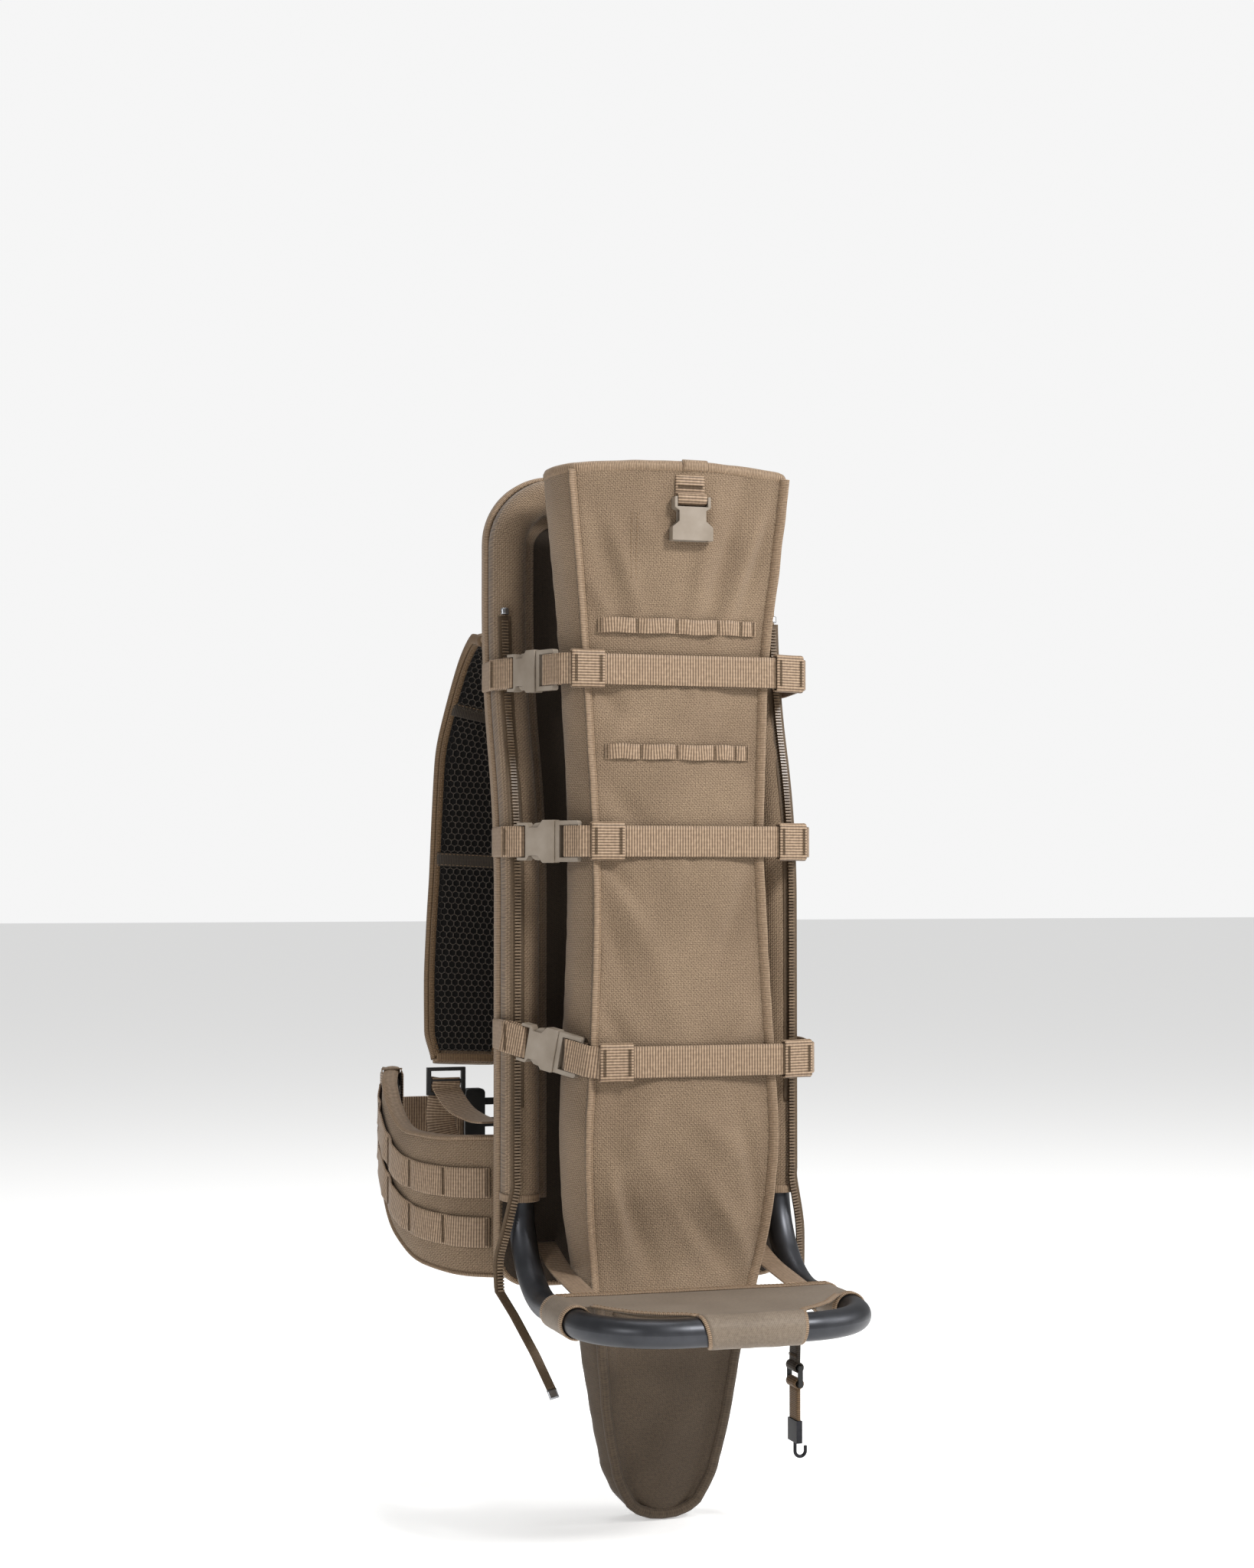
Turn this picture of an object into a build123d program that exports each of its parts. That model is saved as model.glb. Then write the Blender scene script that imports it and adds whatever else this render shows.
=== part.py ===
from build123d import *

"""Load-hauling hunting backpack: a bent aluminium tube frame with a fixed load shelf, a padded back panel,
a long tapered scabbard strapped to its front, and a shoulder and hip harness behind it.

Millimetres. +Z is up, +Y is towards the wearer, -Y is the load side, and X runs across the pack.
The origin is the middle of the back panel, on the centre plane of the frame's straight legs.
"""
import math
import os

# ---- frame tube
tube_radius = 11.0
tube_wall = 1.5
leg_x = 113.0              # leg centre lines at plus and minus this
hoop_top_z = 328.0         # centre line of the top cross tube
hoop_corner_radius = 45.0
shelf_z = -340.0           # centre line of the load shelf's loop
shelf_front_y = -232.0
shelf_corner_radius = 66.0
heel_radius = 82.0         # bend from leg to shelf rail
splice_z = -120.0          # where the hoop meets the loop, inside the sleeves
splice_length = 80.0
splice_clearance = 0.1
rivet_radius = 2.0

# ---- the frame's side curve: straight legs, then two equal and opposite arcs set the top back
curve_start_z = -20.0
curve_arc_height = 130.0
curve_arc_offset = 22.0

# ---- back panel
panel_half_width = 127.5
panel_bottom_z = -336.0
panel_top_z = 344.0
panel_top_corner = 57.0
panel_bottom_corner = 25.0
panel_gap = 2.0            # tube to panel face
face_thickness = 3.0
stiffener_thickness = 2.0
stiffener_inset = 8.0
backing_thickness = 5.0
layer_gap = 0.2
binding_width = 3.0
back_pad_thickness = 16.0
lumbar_pad_thickness = 26.0

# ---- sleeves round the legs
sleeve_clearance = 1.8
sleeve_thickness = 1.8
sleeve_flange = 10.0
curve_clearance = 1.0      # swept and sheared shapes differ by this much where the frame slopes
sleeve_bottom_z = -265.0

# ---- webbing and buckles
webbing_width = 25.4
webbing_thickness = 1.6
belt_webbing_width = 50.0
belt_webbing_thickness = 2.0
keeper_length = 28.0
keeper_wall = 1.5
keeper_clearance = 1.0
slot_clearance = 0.4
socket_length = 36.0
socket_half_width = 17.5
socket_thickness = 9.0
socket_bar = (3.0, 5.0)    # the bar that its webbing goes round: length, thickness
socket_slot = 5.2
plug_length = 22.0         # the part of the plug that stays outside the socket
plug_gap = 0.3
plug_bar = 11.0            # its webbing bar, from the socket's mouth
bar_radius = 2.2

# ---- scabbard stations: height, half width at the front seams, front face, side bulge
scabbard_back_y = -5.0
scabbard_wall = 6.0
scabbard_crown = 4.0       # the front face stands this much proud at its middle
scabbard_stations = [
    (333.0, 91.0, -77.0, 12.0),
    (210.0, 78.0, -69.0, 13.0),
    (171.0, 75.0, -66.0, 13.0),
    (31.0, 68.0, -72.0, 14.0),
    (-50.0, 69.5, -79.0, 14.0),
    (-147.0, 74.0, -83.0, 14.0),
    (-209.0, 78.0, -83.0, 13.0),
    (-270.0, 75.0, -77.0, 12.0),
    (-330.0, 66.0, -62.0, 11.0),
    (-385.0, 59.0, -50.0, 10.0),
    (-443.0, 52.0, -43.0, 8.0),
    (-488.0, 42.0, -38.0, 7.0),
    (-505.0, 34.0, -36.0, 6.0),
]
toe_bottom_z = -526.0
toe_half_width = 14.0
mouth_binding_height = 6.0

# ---- the three cross straps: height, left keeper centre, tab start
strap_standoff = 9.5       # strap centre in front of the scabbard's seam line
strap_levels = {
    "upper": {"z": 171.0, "keeper_x": -78.0, "tab": 24.0, "tab_rise": 0.0},
    "middle": {"z": 31.0, "keeper_x": -63.0, "tab": 16.0, "tab_rise": 0.0},
    "lower": {"z": -147.0, "keeper_x": -59.0, "tab": 18.0, "tab_rise": 19.0},
}
tab_x = -132.4
tab_setback = 20.0         # the tab turns in this far in front of the leg's centre
tab_root = 30.0            # the tab is sewn to the panel's edge over this length
right_keeper_x = 98.0
right_turn_angle = 17.0

# ---- lid buckle on the scabbard's front
lid_buckle_x = 7.5
lid_hinge_z = 311.0
lid_swing_clearance = 0.5

# ---- shoulder straps and hip belt
shoulder_pad_thickness = 13.0
shoulder_pad_width = 68.0
belt_thickness = 15.0
belt_buckle_x = 104.0
belt_turn = 20.0
belt_root = (90.0, 38.0)
right_wing_turn = 18.0
belt_webbing_z = -222.0

parts = {}


top_y = 2 * curve_arc_offset
corner_z = hoop_top_z - hoop_corner_radius


def frame_y(z):
    """How far the frame's centre line is set back at a height."""
    radius = curve_radius()
    first_end = curve_start_z + curve_arc_height
    second_end = first_end + curve_arc_height
    if z <= curve_start_z:
        return 0.0
    if z <= first_end:
        return radius - math.sqrt(radius**2 - (z - curve_start_z) ** 2)
    if z <= second_end:
        return 2 * curve_arc_offset - radius + math.sqrt(radius**2 - (second_end - z) ** 2)
    return 2 * curve_arc_offset


def curve_radius():
    return (curve_arc_height**2 + curve_arc_offset**2) / (2 * curve_arc_offset)


def side_line(offset, bottom, top):
    """The frame's side curve moved back by an offset, between two heights, as edges in the YZ plane."""
    first_end = curve_start_z + curve_arc_height
    second_end = first_end + curve_arc_height
    heights = [bottom] + [z for z in (curve_start_z, first_end, second_end) if bottom < z < top] + [top]
    edges = []
    for low, high in zip(heights, heights[1:]):
        ends = [offset_point(offset, z) for z in (low, (low + high) / 2, high)]
        straight = high <= curve_start_z or low >= second_end
        edges.append(Line(ends[0], ends[2]) if straight else ThreePointArc(*ends))
    return edges


def offset_point(offset, z):
    return Vector(0, frame_y(z) + offset, z)


def curved_slab(offset, thickness, outline):
    """A sheet that follows the frame's side curve, cut to an outline drawn in the XZ plane."""
    box = outline.bounding_box()
    low, high = box.min.Z - 1, box.max.Z + 1
    front = side_line(offset, low, high)
    back = side_line(offset + thickness, low, high)
    caps = [
        Line(offset_point(offset, low), offset_point(offset + thickness, low)),
        Line(offset_point(offset, high), offset_point(offset + thickness, high)),
    ]
    profile = make_face(front + back + caps)
    half = max(abs(box.min.X), abs(box.max.X)) + 1
    sheet = extrude(profile, amount=half, dir=(1, 0, 0), both=True)
    cutter = extrude(outline, amount=150, dir=(0, 1, 0), both=True)
    return sheet & cutter


def rounded_outline(half_width, bottom, top, bottom_corner, top_corner, centre_x=0.0):
    """A rectangle in the XZ plane with different corner radii at its foot and head."""
    sketch = Plane.XZ * (Pos(centre_x, (bottom + top) / 2) * Rectangle(2 * half_width, top - bottom))
    corners = sketch.vertices().sort_by(Axis.Z)
    sketch = fillet(corners[:2], bottom_corner)
    corners = [v for v in sketch.vertices() if abs(v.Z - top) < 0.01]
    return fillet(corners, top_corner)


def save(name, shape):
    parts[name] = shape


# ---------------------------------------------------------------- frame
def leg_edges(side, low, high):
    """The leg's centre line between two heights, on one side of the pack."""
    return [Pos(side * leg_x, 0, 0) * edge for edge in side_line(0, low, high)]


def swept_tube(path, start, direction, outer, inner=None):
    plane = Plane(origin=start, z_dir=direction)
    body = sweep(plane * Circle(outer), path=path)
    return body - sweep(plane * Circle(inner), path=path) if inner else body


def hoop_corner(side):
    corner = hoop_corner_radius * math.sqrt(0.5)
    centre = Vector(side * (leg_x - hoop_corner_radius), top_y, corner_z)
    return ThreePointArc(
        centre + Vector(side * hoop_corner_radius, 0, 0),
        centre + Vector(side * corner, 0, corner),
        centre + Vector(0, 0, hoop_corner_radius),
    )


def make_frame():
    inner = tube_radius - tube_wall
    cross = leg_x - hoop_corner_radius
    hoop = Wire(
        leg_edges(-1, splice_z + 0.1, corner_z)
        + [hoop_corner(-1), Line((-cross, top_y, hoop_top_z), (cross, top_y, hoop_top_z)), hoop_corner(1)]
        + leg_edges(1, splice_z + 0.1, corner_z)
    )
    start = (-leg_x, 0, splice_z + 0.1)
    save("frame_upper_hoop", swept_tube(hoop, start, (0, 0, 1), tube_radius, inner))

    heel_z = shelf_z + heel_radius
    heel_mid = heel_radius * (1 - math.sqrt(0.5))
    rail_y = shelf_front_y + shelf_corner_radius
    front_x = leg_x - shelf_corner_radius
    bend = shelf_corner_radius * (1 - math.sqrt(0.5))

    def shelf_side(side):
        x = side * leg_x
        return [
            Line((x, 0, splice_z), (x, 0, heel_z)),
            ThreePointArc(
                (x, 0, heel_z), (x, -heel_mid, shelf_z + heel_mid), (x, -heel_radius, shelf_z)
            ),
            Line((x, -heel_radius, shelf_z), (x, rail_y, shelf_z)),
            ThreePointArc(
                (x, rail_y, shelf_z),
                (x - side * bend, shelf_front_y + bend, shelf_z),
                (side * front_x, shelf_front_y, shelf_z),
            ),
        ]

    front = Line((-front_x, shelf_front_y, shelf_z), (front_x, shelf_front_y, shelf_z))
    loop = Wire(shelf_side(-1) + [front] + shelf_side(1))
    lower = swept_tube(loop, (-leg_x, 0, splice_z), (0, 0, -1), tube_radius, inner)

    rivet_heights = [splice_z - splice_length / 4, splice_z + splice_length / 4]
    plugs, rivets, holes = [], [], []
    for side in (-1, 1):
        plug = Pos(side * leg_x, 0, splice_z) * Cylinder(inner - splice_clearance, splice_length)
        for z in rivet_heights:
            place = Pos(side * leg_x, 0, z) * Rot(90, 0, 0)
            holes.append(place * Cylinder(rivet_radius, 4 * tube_radius))
            shank = Cylinder(rivet_radius - 0.05, 2 * tube_radius + 0.2)
            head = Cylinder(2 * rivet_radius, 1.0)
            seat = tube_radius + 0.6
            rivets.append(place * (shank + Pos(0, 0, seat) * head + Pos(0, 0, -seat) * head))
        plugs.append(plug)
    for hole in holes:
        lower = lower - hole
        parts["frame_upper_hoop"] = parts["frame_upper_hoop"] - hole
        plugs = [plug - hole for plug in plugs]
    save("frame_lower_loop", lower)
    save("frame_splices", Compound(plugs + rivets))


# ---------------------------------------------------------------- back panel
def panel_outline(grow=0.0):
    return rounded_outline(
        panel_half_width + grow,
        panel_bottom_z - grow,
        panel_top_z + grow,
        panel_bottom_corner + grow,
        panel_top_corner + grow,
    )


face_offset = tube_radius + panel_gap
stiffener_offset = face_offset + face_thickness + layer_gap
backing_offset = stiffener_offset + stiffener_thickness + layer_gap
pad_offset = backing_offset + backing_thickness + layer_gap


def make_panel():
    save("panel_face", curved_slab(face_offset, face_thickness, panel_outline()))
    inset = panel_outline(-stiffener_inset)
    save("panel_stiffener", curved_slab(stiffener_offset, stiffener_thickness, inset))
    save("panel_backing", curved_slab(backing_offset, backing_thickness, panel_outline()))
    depth = backing_offset + backing_thickness - face_offset
    rim = curved_slab(face_offset - 1, depth + 2, panel_outline(binding_width))
    hole = curved_slab(face_offset - 2, depth + 4, panel_outline(layer_gap))
    save("panel_binding", rim - hole)

    columns = [
        curved_slab(pad_offset, back_pad_thickness, rounded_outline(30, -150, 165, 25, 25, side * 50))
        for side in (-1, 1)
    ]
    save("back_pads", Compound(columns))
    lumbar = rounded_outline(74, -318, -170, 35, 35)
    save("lumbar_pad", curved_slab(pad_offset, lumbar_pad_thickness, lumbar))


def make_sleeves():
    """A hat-shaped fabric channel over each leg, sewn to the panel's face by its two flanges."""
    inner = tube_radius + sleeve_clearance
    outer = inner + sleeve_thickness
    foot = face_offset - curve_clearance
    for side, name in ((-1, "left"), (1, "right")):
        hat = Circle(outer) + Pos(0, foot / 2) * Rectangle(2 * outer, foot)
        flange = Rectangle(sleeve_flange + outer, sleeve_thickness)
        hat += Pos(-side * (outer + sleeve_flange) / 2, foot - sleeve_thickness / 2) * flange
        bore = Circle(inner) + Pos(0, foot) * Rectangle(2 * inner, 2 * foot)
        below = Pos(0, foot + outer) * Rectangle(4 * outer, 2 * outer)
        section = Plane.XY * (hat - bore - below)
        top = Line((side * (leg_x - hoop_corner_radius), top_y, hoop_top_z), (side * 0.2, top_y, hoop_top_z))
        path = Wire(leg_edges(side, sleeve_bottom_z, corner_z) + [hoop_corner(side), top])
        save(f"frame_sleeve_{name}", sweep(Pos(side * leg_x, 0, sleeve_bottom_z) * section, path=path))


# ---------------------------------------------------------------- side zips
zip_top_z = 222.0
zip_tape_width = 8.2
zip_tape_thickness = 1.2
zip_teeth_width = 5.5
zip_teeth_thickness = 2.2
zip_offset = -(tube_radius + sleeve_clearance + sleeve_thickness + 1.3)
zip_x = leg_x + 7.5
zip_foot = [  # (height, distance out, Y) of the free lower stretch of the tape
    (sleeve_bottom_z + 4.8, zip_x + 1.0, zip_offset - 1.7),
    (-288.0, 127.5, -14.0),
    (-312.0, 131.5, -6.0),
    (-338.0, 131.0, -6.0),
]
zip_tail = [(-356.0, 124.0, -20.0), (-385.0, 112.0, -42.0), (-411.0, 103.0, -60.0)]


def ribbon_loft(stations, width, thickness, side):
    """A flat tape that faces the load side, through (height, distance out, Y) stations."""
    faces = [Pos(side * x, y, z) * Rectangle(width, thickness) for z, x, y in stations]
    return loft(faces, ruled=True)


def make_zips():
    """One half of a separating zip down each edge of the panel; its other half is on the load it takes."""
    lower_edge = sleeve_bottom_z + 5
    for side, name in ((-1, "left"), (1, "right")):
        def window(near, far, low, high):
            middle = side * (near + far) / 2
            return Plane.XZ * (Pos(middle, (low + high) / 2) * Rectangle(far - near, high - low))

        near = zip_x - zip_teeth_width / 2
        outline = window(near, near + zip_tape_width, lower_edge, zip_top_z)
        tape = curved_slab(zip_offset - zip_tape_thickness, zip_tape_thickness, outline)
        outline = window(near, near + zip_teeth_width, lower_edge, zip_top_z)
        teeth = curved_slab(
            zip_offset - zip_tape_thickness - zip_teeth_thickness, zip_teeth_thickness, outline
        )
        stop = Pos(side * zip_x, frame_y(zip_top_z) + zip_offset - zip_tape_thickness, zip_top_z + 2.2)
        stations = zip_foot + (zip_tail if side < 0 else [])
        foot = ribbon_loft(stations, zip_tape_width * 0.75, 2 * zip_tape_thickness, side)
        save(f"side_zip_{name}", Compound([tape + teeth + stop * Box(zip_teeth_width + 2, 4, 4), foot]))


# ---------------------------------------------------------------- scabbard
def wall_sections(points):
    """Lofts one scabbard wall through its stations; points gives each station's plan polygon."""
    faces = []
    for z, half, front, bulge in scabbard_stations:
        faces.append(Pos(0, 0, z) * make_face(Polyline(*points(half, front, bulge), close=True)))
    return loft(faces, ruled=True)


def make_scabbard():
    wall = scabbard_wall
    gap = 0.1
    back = scabbard_back_y

    def front_wall(half, front, bulge):
        return [
            (-half, front), (0, front - scabbard_crown), (half, front),
            (half - gap, front + wall), (0, front - scabbard_crown + wall), (-half + gap, front + wall),
        ]

    def back_wall(half, front, bulge):
        return [(-half, back), (half, back), (half, back - wall), (-half, back - wall)]

    def side_wall(side):
        def points(half, front, bulge):
            middle = (front + back) / 2
            near = half + gap
            return [
                (side * near, front), (side * (half + bulge), middle), (side * near, back),
                (side * near, back - wall),
                (side * (half + bulge - wall), middle),
                (side * near, front + wall),
            ]
        return points

    save("scabbard_front", wall_sections(front_wall))
    save("scabbard_back", wall_sections(back_wall))
    save("scabbard_side_left", wall_sections(side_wall(-1)))
    save("scabbard_side_right", wall_sections(side_wall(1)))

    def closed(half, front, bulge):
        middle = (front + back) / 2
        return [
            (-half, front), (0, front - scabbard_crown), (half, front),
            (half + bulge, middle), (half, back), (-half, back), (-half - bulge, middle),
        ]

    z, half, front, bulge = scabbard_stations[-1]
    top = Pos(0, 0, z - gap) * make_face(Polyline(*closed(half, front, bulge), close=True))
    low = Pos(0, 0, toe_bottom_z) * make_face(
        Polyline(*closed(toe_half_width, front + 6, bulge / 2), close=True)
    )
    save("scabbard_toe", loft([low, top], ruled=True))

    z, half, front, bulge = scabbard_stations[0]
    ring = make_face(Polyline(*closed(half + 1.5, front - 1.5, bulge), close=True))
    hole = make_face(Polyline(*closed(half - wall - 1.5, front + wall + 1.5, bulge), close=True))
    hole = hole & (Pos(0, (front + back) / 2) * Rectangle(400, back - front - 2 * wall - 3))
    save("scabbard_mouth_binding", Pos(0, 0, z + gap) * extrude(ring - hole, amount=mouth_binding_height))

    pipes = []
    for side in (-1, 1):
        points = [(side * (half + 1.8), front - 3.2, z) for z, half, front, bulge in scabbard_stations[:-1]]
        faces = [Pos(*point) * Circle(2.0) for point in points]
        pipes.append(loft(faces, ruled=True))
    save("scabbard_piping", Compound(pipes))

    chains = []
    for z, reach in ((207.0, 68.0), (104.0, 62.0)):
        half, front = station_at(z)
        slope = scabbard_crown / half
        edge = front - scabbard_crown + reach * slope
        middle = front - scabbard_crown
        near, far = 0.9, 2.9
        outline = [
            (-reach, edge - near), (0, middle - near), (reach, edge - near),
            (reach, edge - far), (0, middle - far), (-reach, edge - far),
        ]
        chains.append(Pos(0, 0, z - 6.3) * extrude(make_face(Polyline(*outline, close=True)), amount=12.6))
    save("daisy_chains", Compound(chains))


def station_at(z):
    """Half width and front face of the scabbard at any height."""
    for (z1, half1, front1, _), (z0, half0, front0, _) in zip(scabbard_stations, scabbard_stations[1:]):
        if z0 <= z <= z1:
            share = (z - z0) / (z1 - z0)
            return half0 + share * (half1 - half0), front0 + share * (front1 - front0)
    raise ValueError(z)


# ---------------------------------------------------------------- buckles
def slab(outline, thickness):
    return extrude(outline, amount=thickness / 2, both=True)


def polygon(points):
    return make_face(Polyline(*points, close=True))


def buckle_socket():
    """The receiving half. X runs from its webbing bar to its mouth, Y across it, Z through it."""
    half = socket_half_width
    waist = half - 6.0
    length = socket_length
    outline = polygon([
        (0, -half + 2), (9, -half + 2), (11.5, -waist), (20, -waist), (25, -half), (length, -half),
        (length, half), (25, half), (20, waist), (11.5, waist), (9, half - 2), (0, half - 2),
    ])
    body = slab(outline, socket_thickness)
    body = fillet(body.edges().filter_by(Axis.Z), 0.8)
    slot_half = webbing_width / 2 + slot_clearance
    bar_length, bar_thickness = socket_bar
    body -= Pos(bar_length + socket_slot / 2, 0, 0) * Box(socket_slot, 2 * slot_half, 2 * socket_thickness)
    for face in (-1, 1):
        relief = (socket_thickness - bar_thickness) / 2
        place = Pos(bar_length / 2 - 1, 0, face * (bar_thickness + relief) / 2)
        body -= place * Box(bar_length + 2, 2 * slot_half, relief)
    cavity_half = half - 3.2
    start = 11.0
    body -= Pos((start + length + 1) / 2, 0, 0) * Box(length + 1 - start, 2 * cavity_half, 5.8)
    return body


def buckle_plug():
    """The adjusting half: a two-slot frame with a round middle bar, and the tongue that guides it in."""
    base = socket_length + plug_gap
    end = base + plug_length
    half = socket_half_width - 0.7
    slot_half = webbing_width / 2 + slot_clearance
    bar_x = base + plug_bar
    frame = Pos((base + end) / 2, 0, 0) * Box(plug_length, 2 * half, 6.0)
    frame = fillet(frame.edges().filter_by(Axis.Z).sort_by(Axis.X)[-2:], 2.0)
    frame -= Pos(bar_x, 0, 0) * Box(13.6, 2 * slot_half, 10)
    end_bar = end - (bar_x + 6.8)
    for face in (-1, 1):
        frame -= Pos(end - end_bar / 2, 0, face * 4.2) * Box(end_bar + 1, 2 * slot_half, 4.4)
    bar = Pos(bar_x, 0, 0) * Rot(90, 0, 0) * Cylinder(bar_radius, 2 * slot_half + 2)
    tongue = Pos((base + 13) / 2 + 0.5, 0, 0) * Box(base - 13 + 1, 4.4, 4.8)
    return frame + bar + tongue


def buckle_prong(side):
    """One sprung arm of the plug. It turns about its root and its barb catches the socket's side wall."""
    root = socket_length - 0.2
    outline = [
        (root, 7.6), (root, 11.6), (24.0, 12.4), (21.7, 12.6), (21.4, 15.6), (16.5, 15.0),
        (13.0, 12.2), (13.4, 9.6), (22.0, 8.4),
    ]
    return slab(polygon([(x, side * y) for x, y in outline]), 5.0)


def strap_frame(level):
    """A level's buckle line: from the tab's turn at the panel's edge to the strap's way into its keeper."""
    data = strap_levels[level]
    span_y = station_at(data["z"])[1] - strap_standoff
    start = Vector(tab_x, frame_y(data["z"]) - tab_setback, data["z"] + data["tab_rise"])
    entry = Vector(data["keeper_x"] - keeper_length / 2 - 4, span_y, data["z"])
    aim = entry
    for _ in range(3):
        along = (aim - start).normalized()
        normal = along.cross(Vector(0, 0, 1)).normalized()
        aim = entry - normal * bar_wrap
    return start, entry, along, normal, span_y


bar_wrap = bar_radius + 0.5 + webbing_thickness / 2     # webbing centre round the plug's bar
tab_wrap = socket_bar[1] / 2 + 0.6 + webbing_thickness / 2


def make_cross_straps():
    tabs, sockets, keepers_left, keepers_right = [], [], [], []
    for level, data in strap_levels.items():
        start, entry, along, normal, span_y = strap_frame(level)
        place = Plane(origin=start + along * data["tab"], x_dir=along, z_dir=normal).location
        sockets.append(place * buckle_socket())
        save(f"buckle_plug_{level}", place * buckle_plug())
        save(f"buckle_prong_{level}_top", place * buckle_prong(1))
        save(f"buckle_prong_{level}_bottom", place * buckle_prong(-1))

        # the tab: sewn to the panel's edge, round the socket's bar and back to the same seam
        turn = data["tab"] + socket_bar[0] + socket_slot / 2 - 0.4
        lay = Plane(origin=start, x_dir=along, z_dir=normal).location * Rot(90, 0, 0)
        path = FilletPolyline((0, -tab_wrap), (turn, -tab_wrap), (turn, tab_wrap), (0, tab_wrap), radius=1.4)
        loop = slab(trace(path, webbing_thickness), webbing_width)
        fold = Pos(start.X, start.Y + 1.5, start.Z)
        fold *= Box(2 * tab_wrap + webbing_thickness, 5.0, webbing_width)
        root = Pos(start.X, start.Y + 3.0 + tab_root / 2, start.Z)
        root *= Box(2 * webbing_thickness, tab_root, webbing_width)
        tabs.append(lay * loop + fold + root)

        # the strap: loops round the plug's bar, crosses the front, and runs back to the other edge
        bar_at = data["tab"] + socket_length + plug_gap + plug_bar
        bar = start + along * bar_at
        lay = Plane(origin=bar, x_dir=along, z_dir=normal).location * Rot(90, 0, 0)
        ring = Circle(bar_wrap + webbing_thickness / 2) - Circle(bar_wrap - webbing_thickness / 2)
        ring -= Pos(10, 0) * Rectangle(20, 20)
        lead = (entry - bar).length - 3.0
        ring += Pos(7, -bar_wrap) * Rectangle(14.2, webbing_thickness)
        ring += Pos(lead / 2, bar_wrap) * Rectangle(lead + 0.2, webbing_thickness)
        around = lay * slab(ring, webbing_width)
        turn = math.radians(right_turn_angle)
        bend_x = right_keeper_x - keeper_length / 2 - 4
        keeper_y = span_y + (right_keeper_x - bend_x) * math.tan(turn)
        last = Vector(right_keeper_x + 19 * math.cos(turn), keeper_y + 19 * math.sin(turn))
        anchor_x = panel_half_width + binding_width + layer_gap + webbing_thickness
        anchor_y = frame_y(data["z"]) - tube_radius
        path = FilletPolyline(
            (entry.X - 4.0, span_y),
            (bend_x, span_y),
            (last.X, last.Y),
            (anchor_x, anchor_y),
            (anchor_x, anchor_y + 30.0),
            radius=[12.0, 6.0, 6.0],
        )
        z_low = data["z"] - webbing_width / 2
        span = Pos(0, 0, z_low) * extrude(trace(path, webbing_thickness), amount=webbing_width)
        save(f"cross_strap_{level}", span + around)

        # the keepers: short webbing loops that the strap slides through
        hole = (webbing_thickness + 2 * keeper_clearance, webbing_width + 2 * keeper_clearance)
        shell = [size + 2 * keeper_wall for size in hole]
        loop_solid = Box(keeper_length, shell[0], shell[1]) - Box(keeper_length + 1, hole[0], hole[1])
        keepers_left.append(Pos(data["keeper_x"], span_y, data["z"]) * loop_solid)
        right = Pos(right_keeper_x, keeper_y, data["z"]) * Rot(0, 0, right_turn_angle)
        keepers_right.append(right * loop_solid)
    save("strap_tabs", Compound(tabs))
    save("buckle_sockets", Compound(sockets))
    save("strap_keepers_left", Compound(keepers_left))
    save("strap_keepers_right", Compound(keepers_right))


def make_lid_buckle():
    """A receiving half that hangs from a loop at the scabbard's mouth, for a lid's strap."""
    half, front = station_at(lid_hinge_z)
    face = front - scabbard_crown * (1 - lid_buckle_x / half)
    bar_length, bar_thickness = socket_bar
    inner = math.hypot(bar_length, bar_thickness) / 2 + lid_swing_clearance
    outer = inner + webbing_thickness
    hinge_y = face - 1.2 - outer
    origin = (lid_buckle_x, hinge_y, lid_hinge_z + bar_length / 2)
    hang = Plane(origin=origin, x_dir=(0, 0, -1), z_dir=(0, -1, 0)).location
    save("lid_buckle_socket", hang * buckle_socket())
    height = scabbard_stations[0][0] - 3 - (lid_hinge_z + inner)
    patch_y = hinge_y + outer - webbing_thickness / 2
    patch = Pos(lid_buckle_x, patch_y, lid_hinge_z + height / 2)
    patch *= Box(webbing_width, webbing_thickness, height)
    ring = extrude(Plane.YZ * (Circle(outer) - Circle(inner)), amount=webbing_width / 2, both=True)
    save("lid_buckle_loop", patch + Pos(lid_buckle_x, hinge_y, lid_hinge_z) * ring)


# ---------------------------------------------------------------- load shelf sling
sling_thickness = 1.8
sling_clearance = 0.3
sling_rear_y = -108.0
sling_side_front_y = -164.0
anchor_x = 90.0
anchor_width = 20.0
sling_front_wrap = (-34.0, 46.0)
sling_corner_width = 60.0  # cut away at each front corner, round the tube's bend
sling_window_depth = 22.0  # cut away each side of the front wrap
sling_cut_over = 20.0


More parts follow.
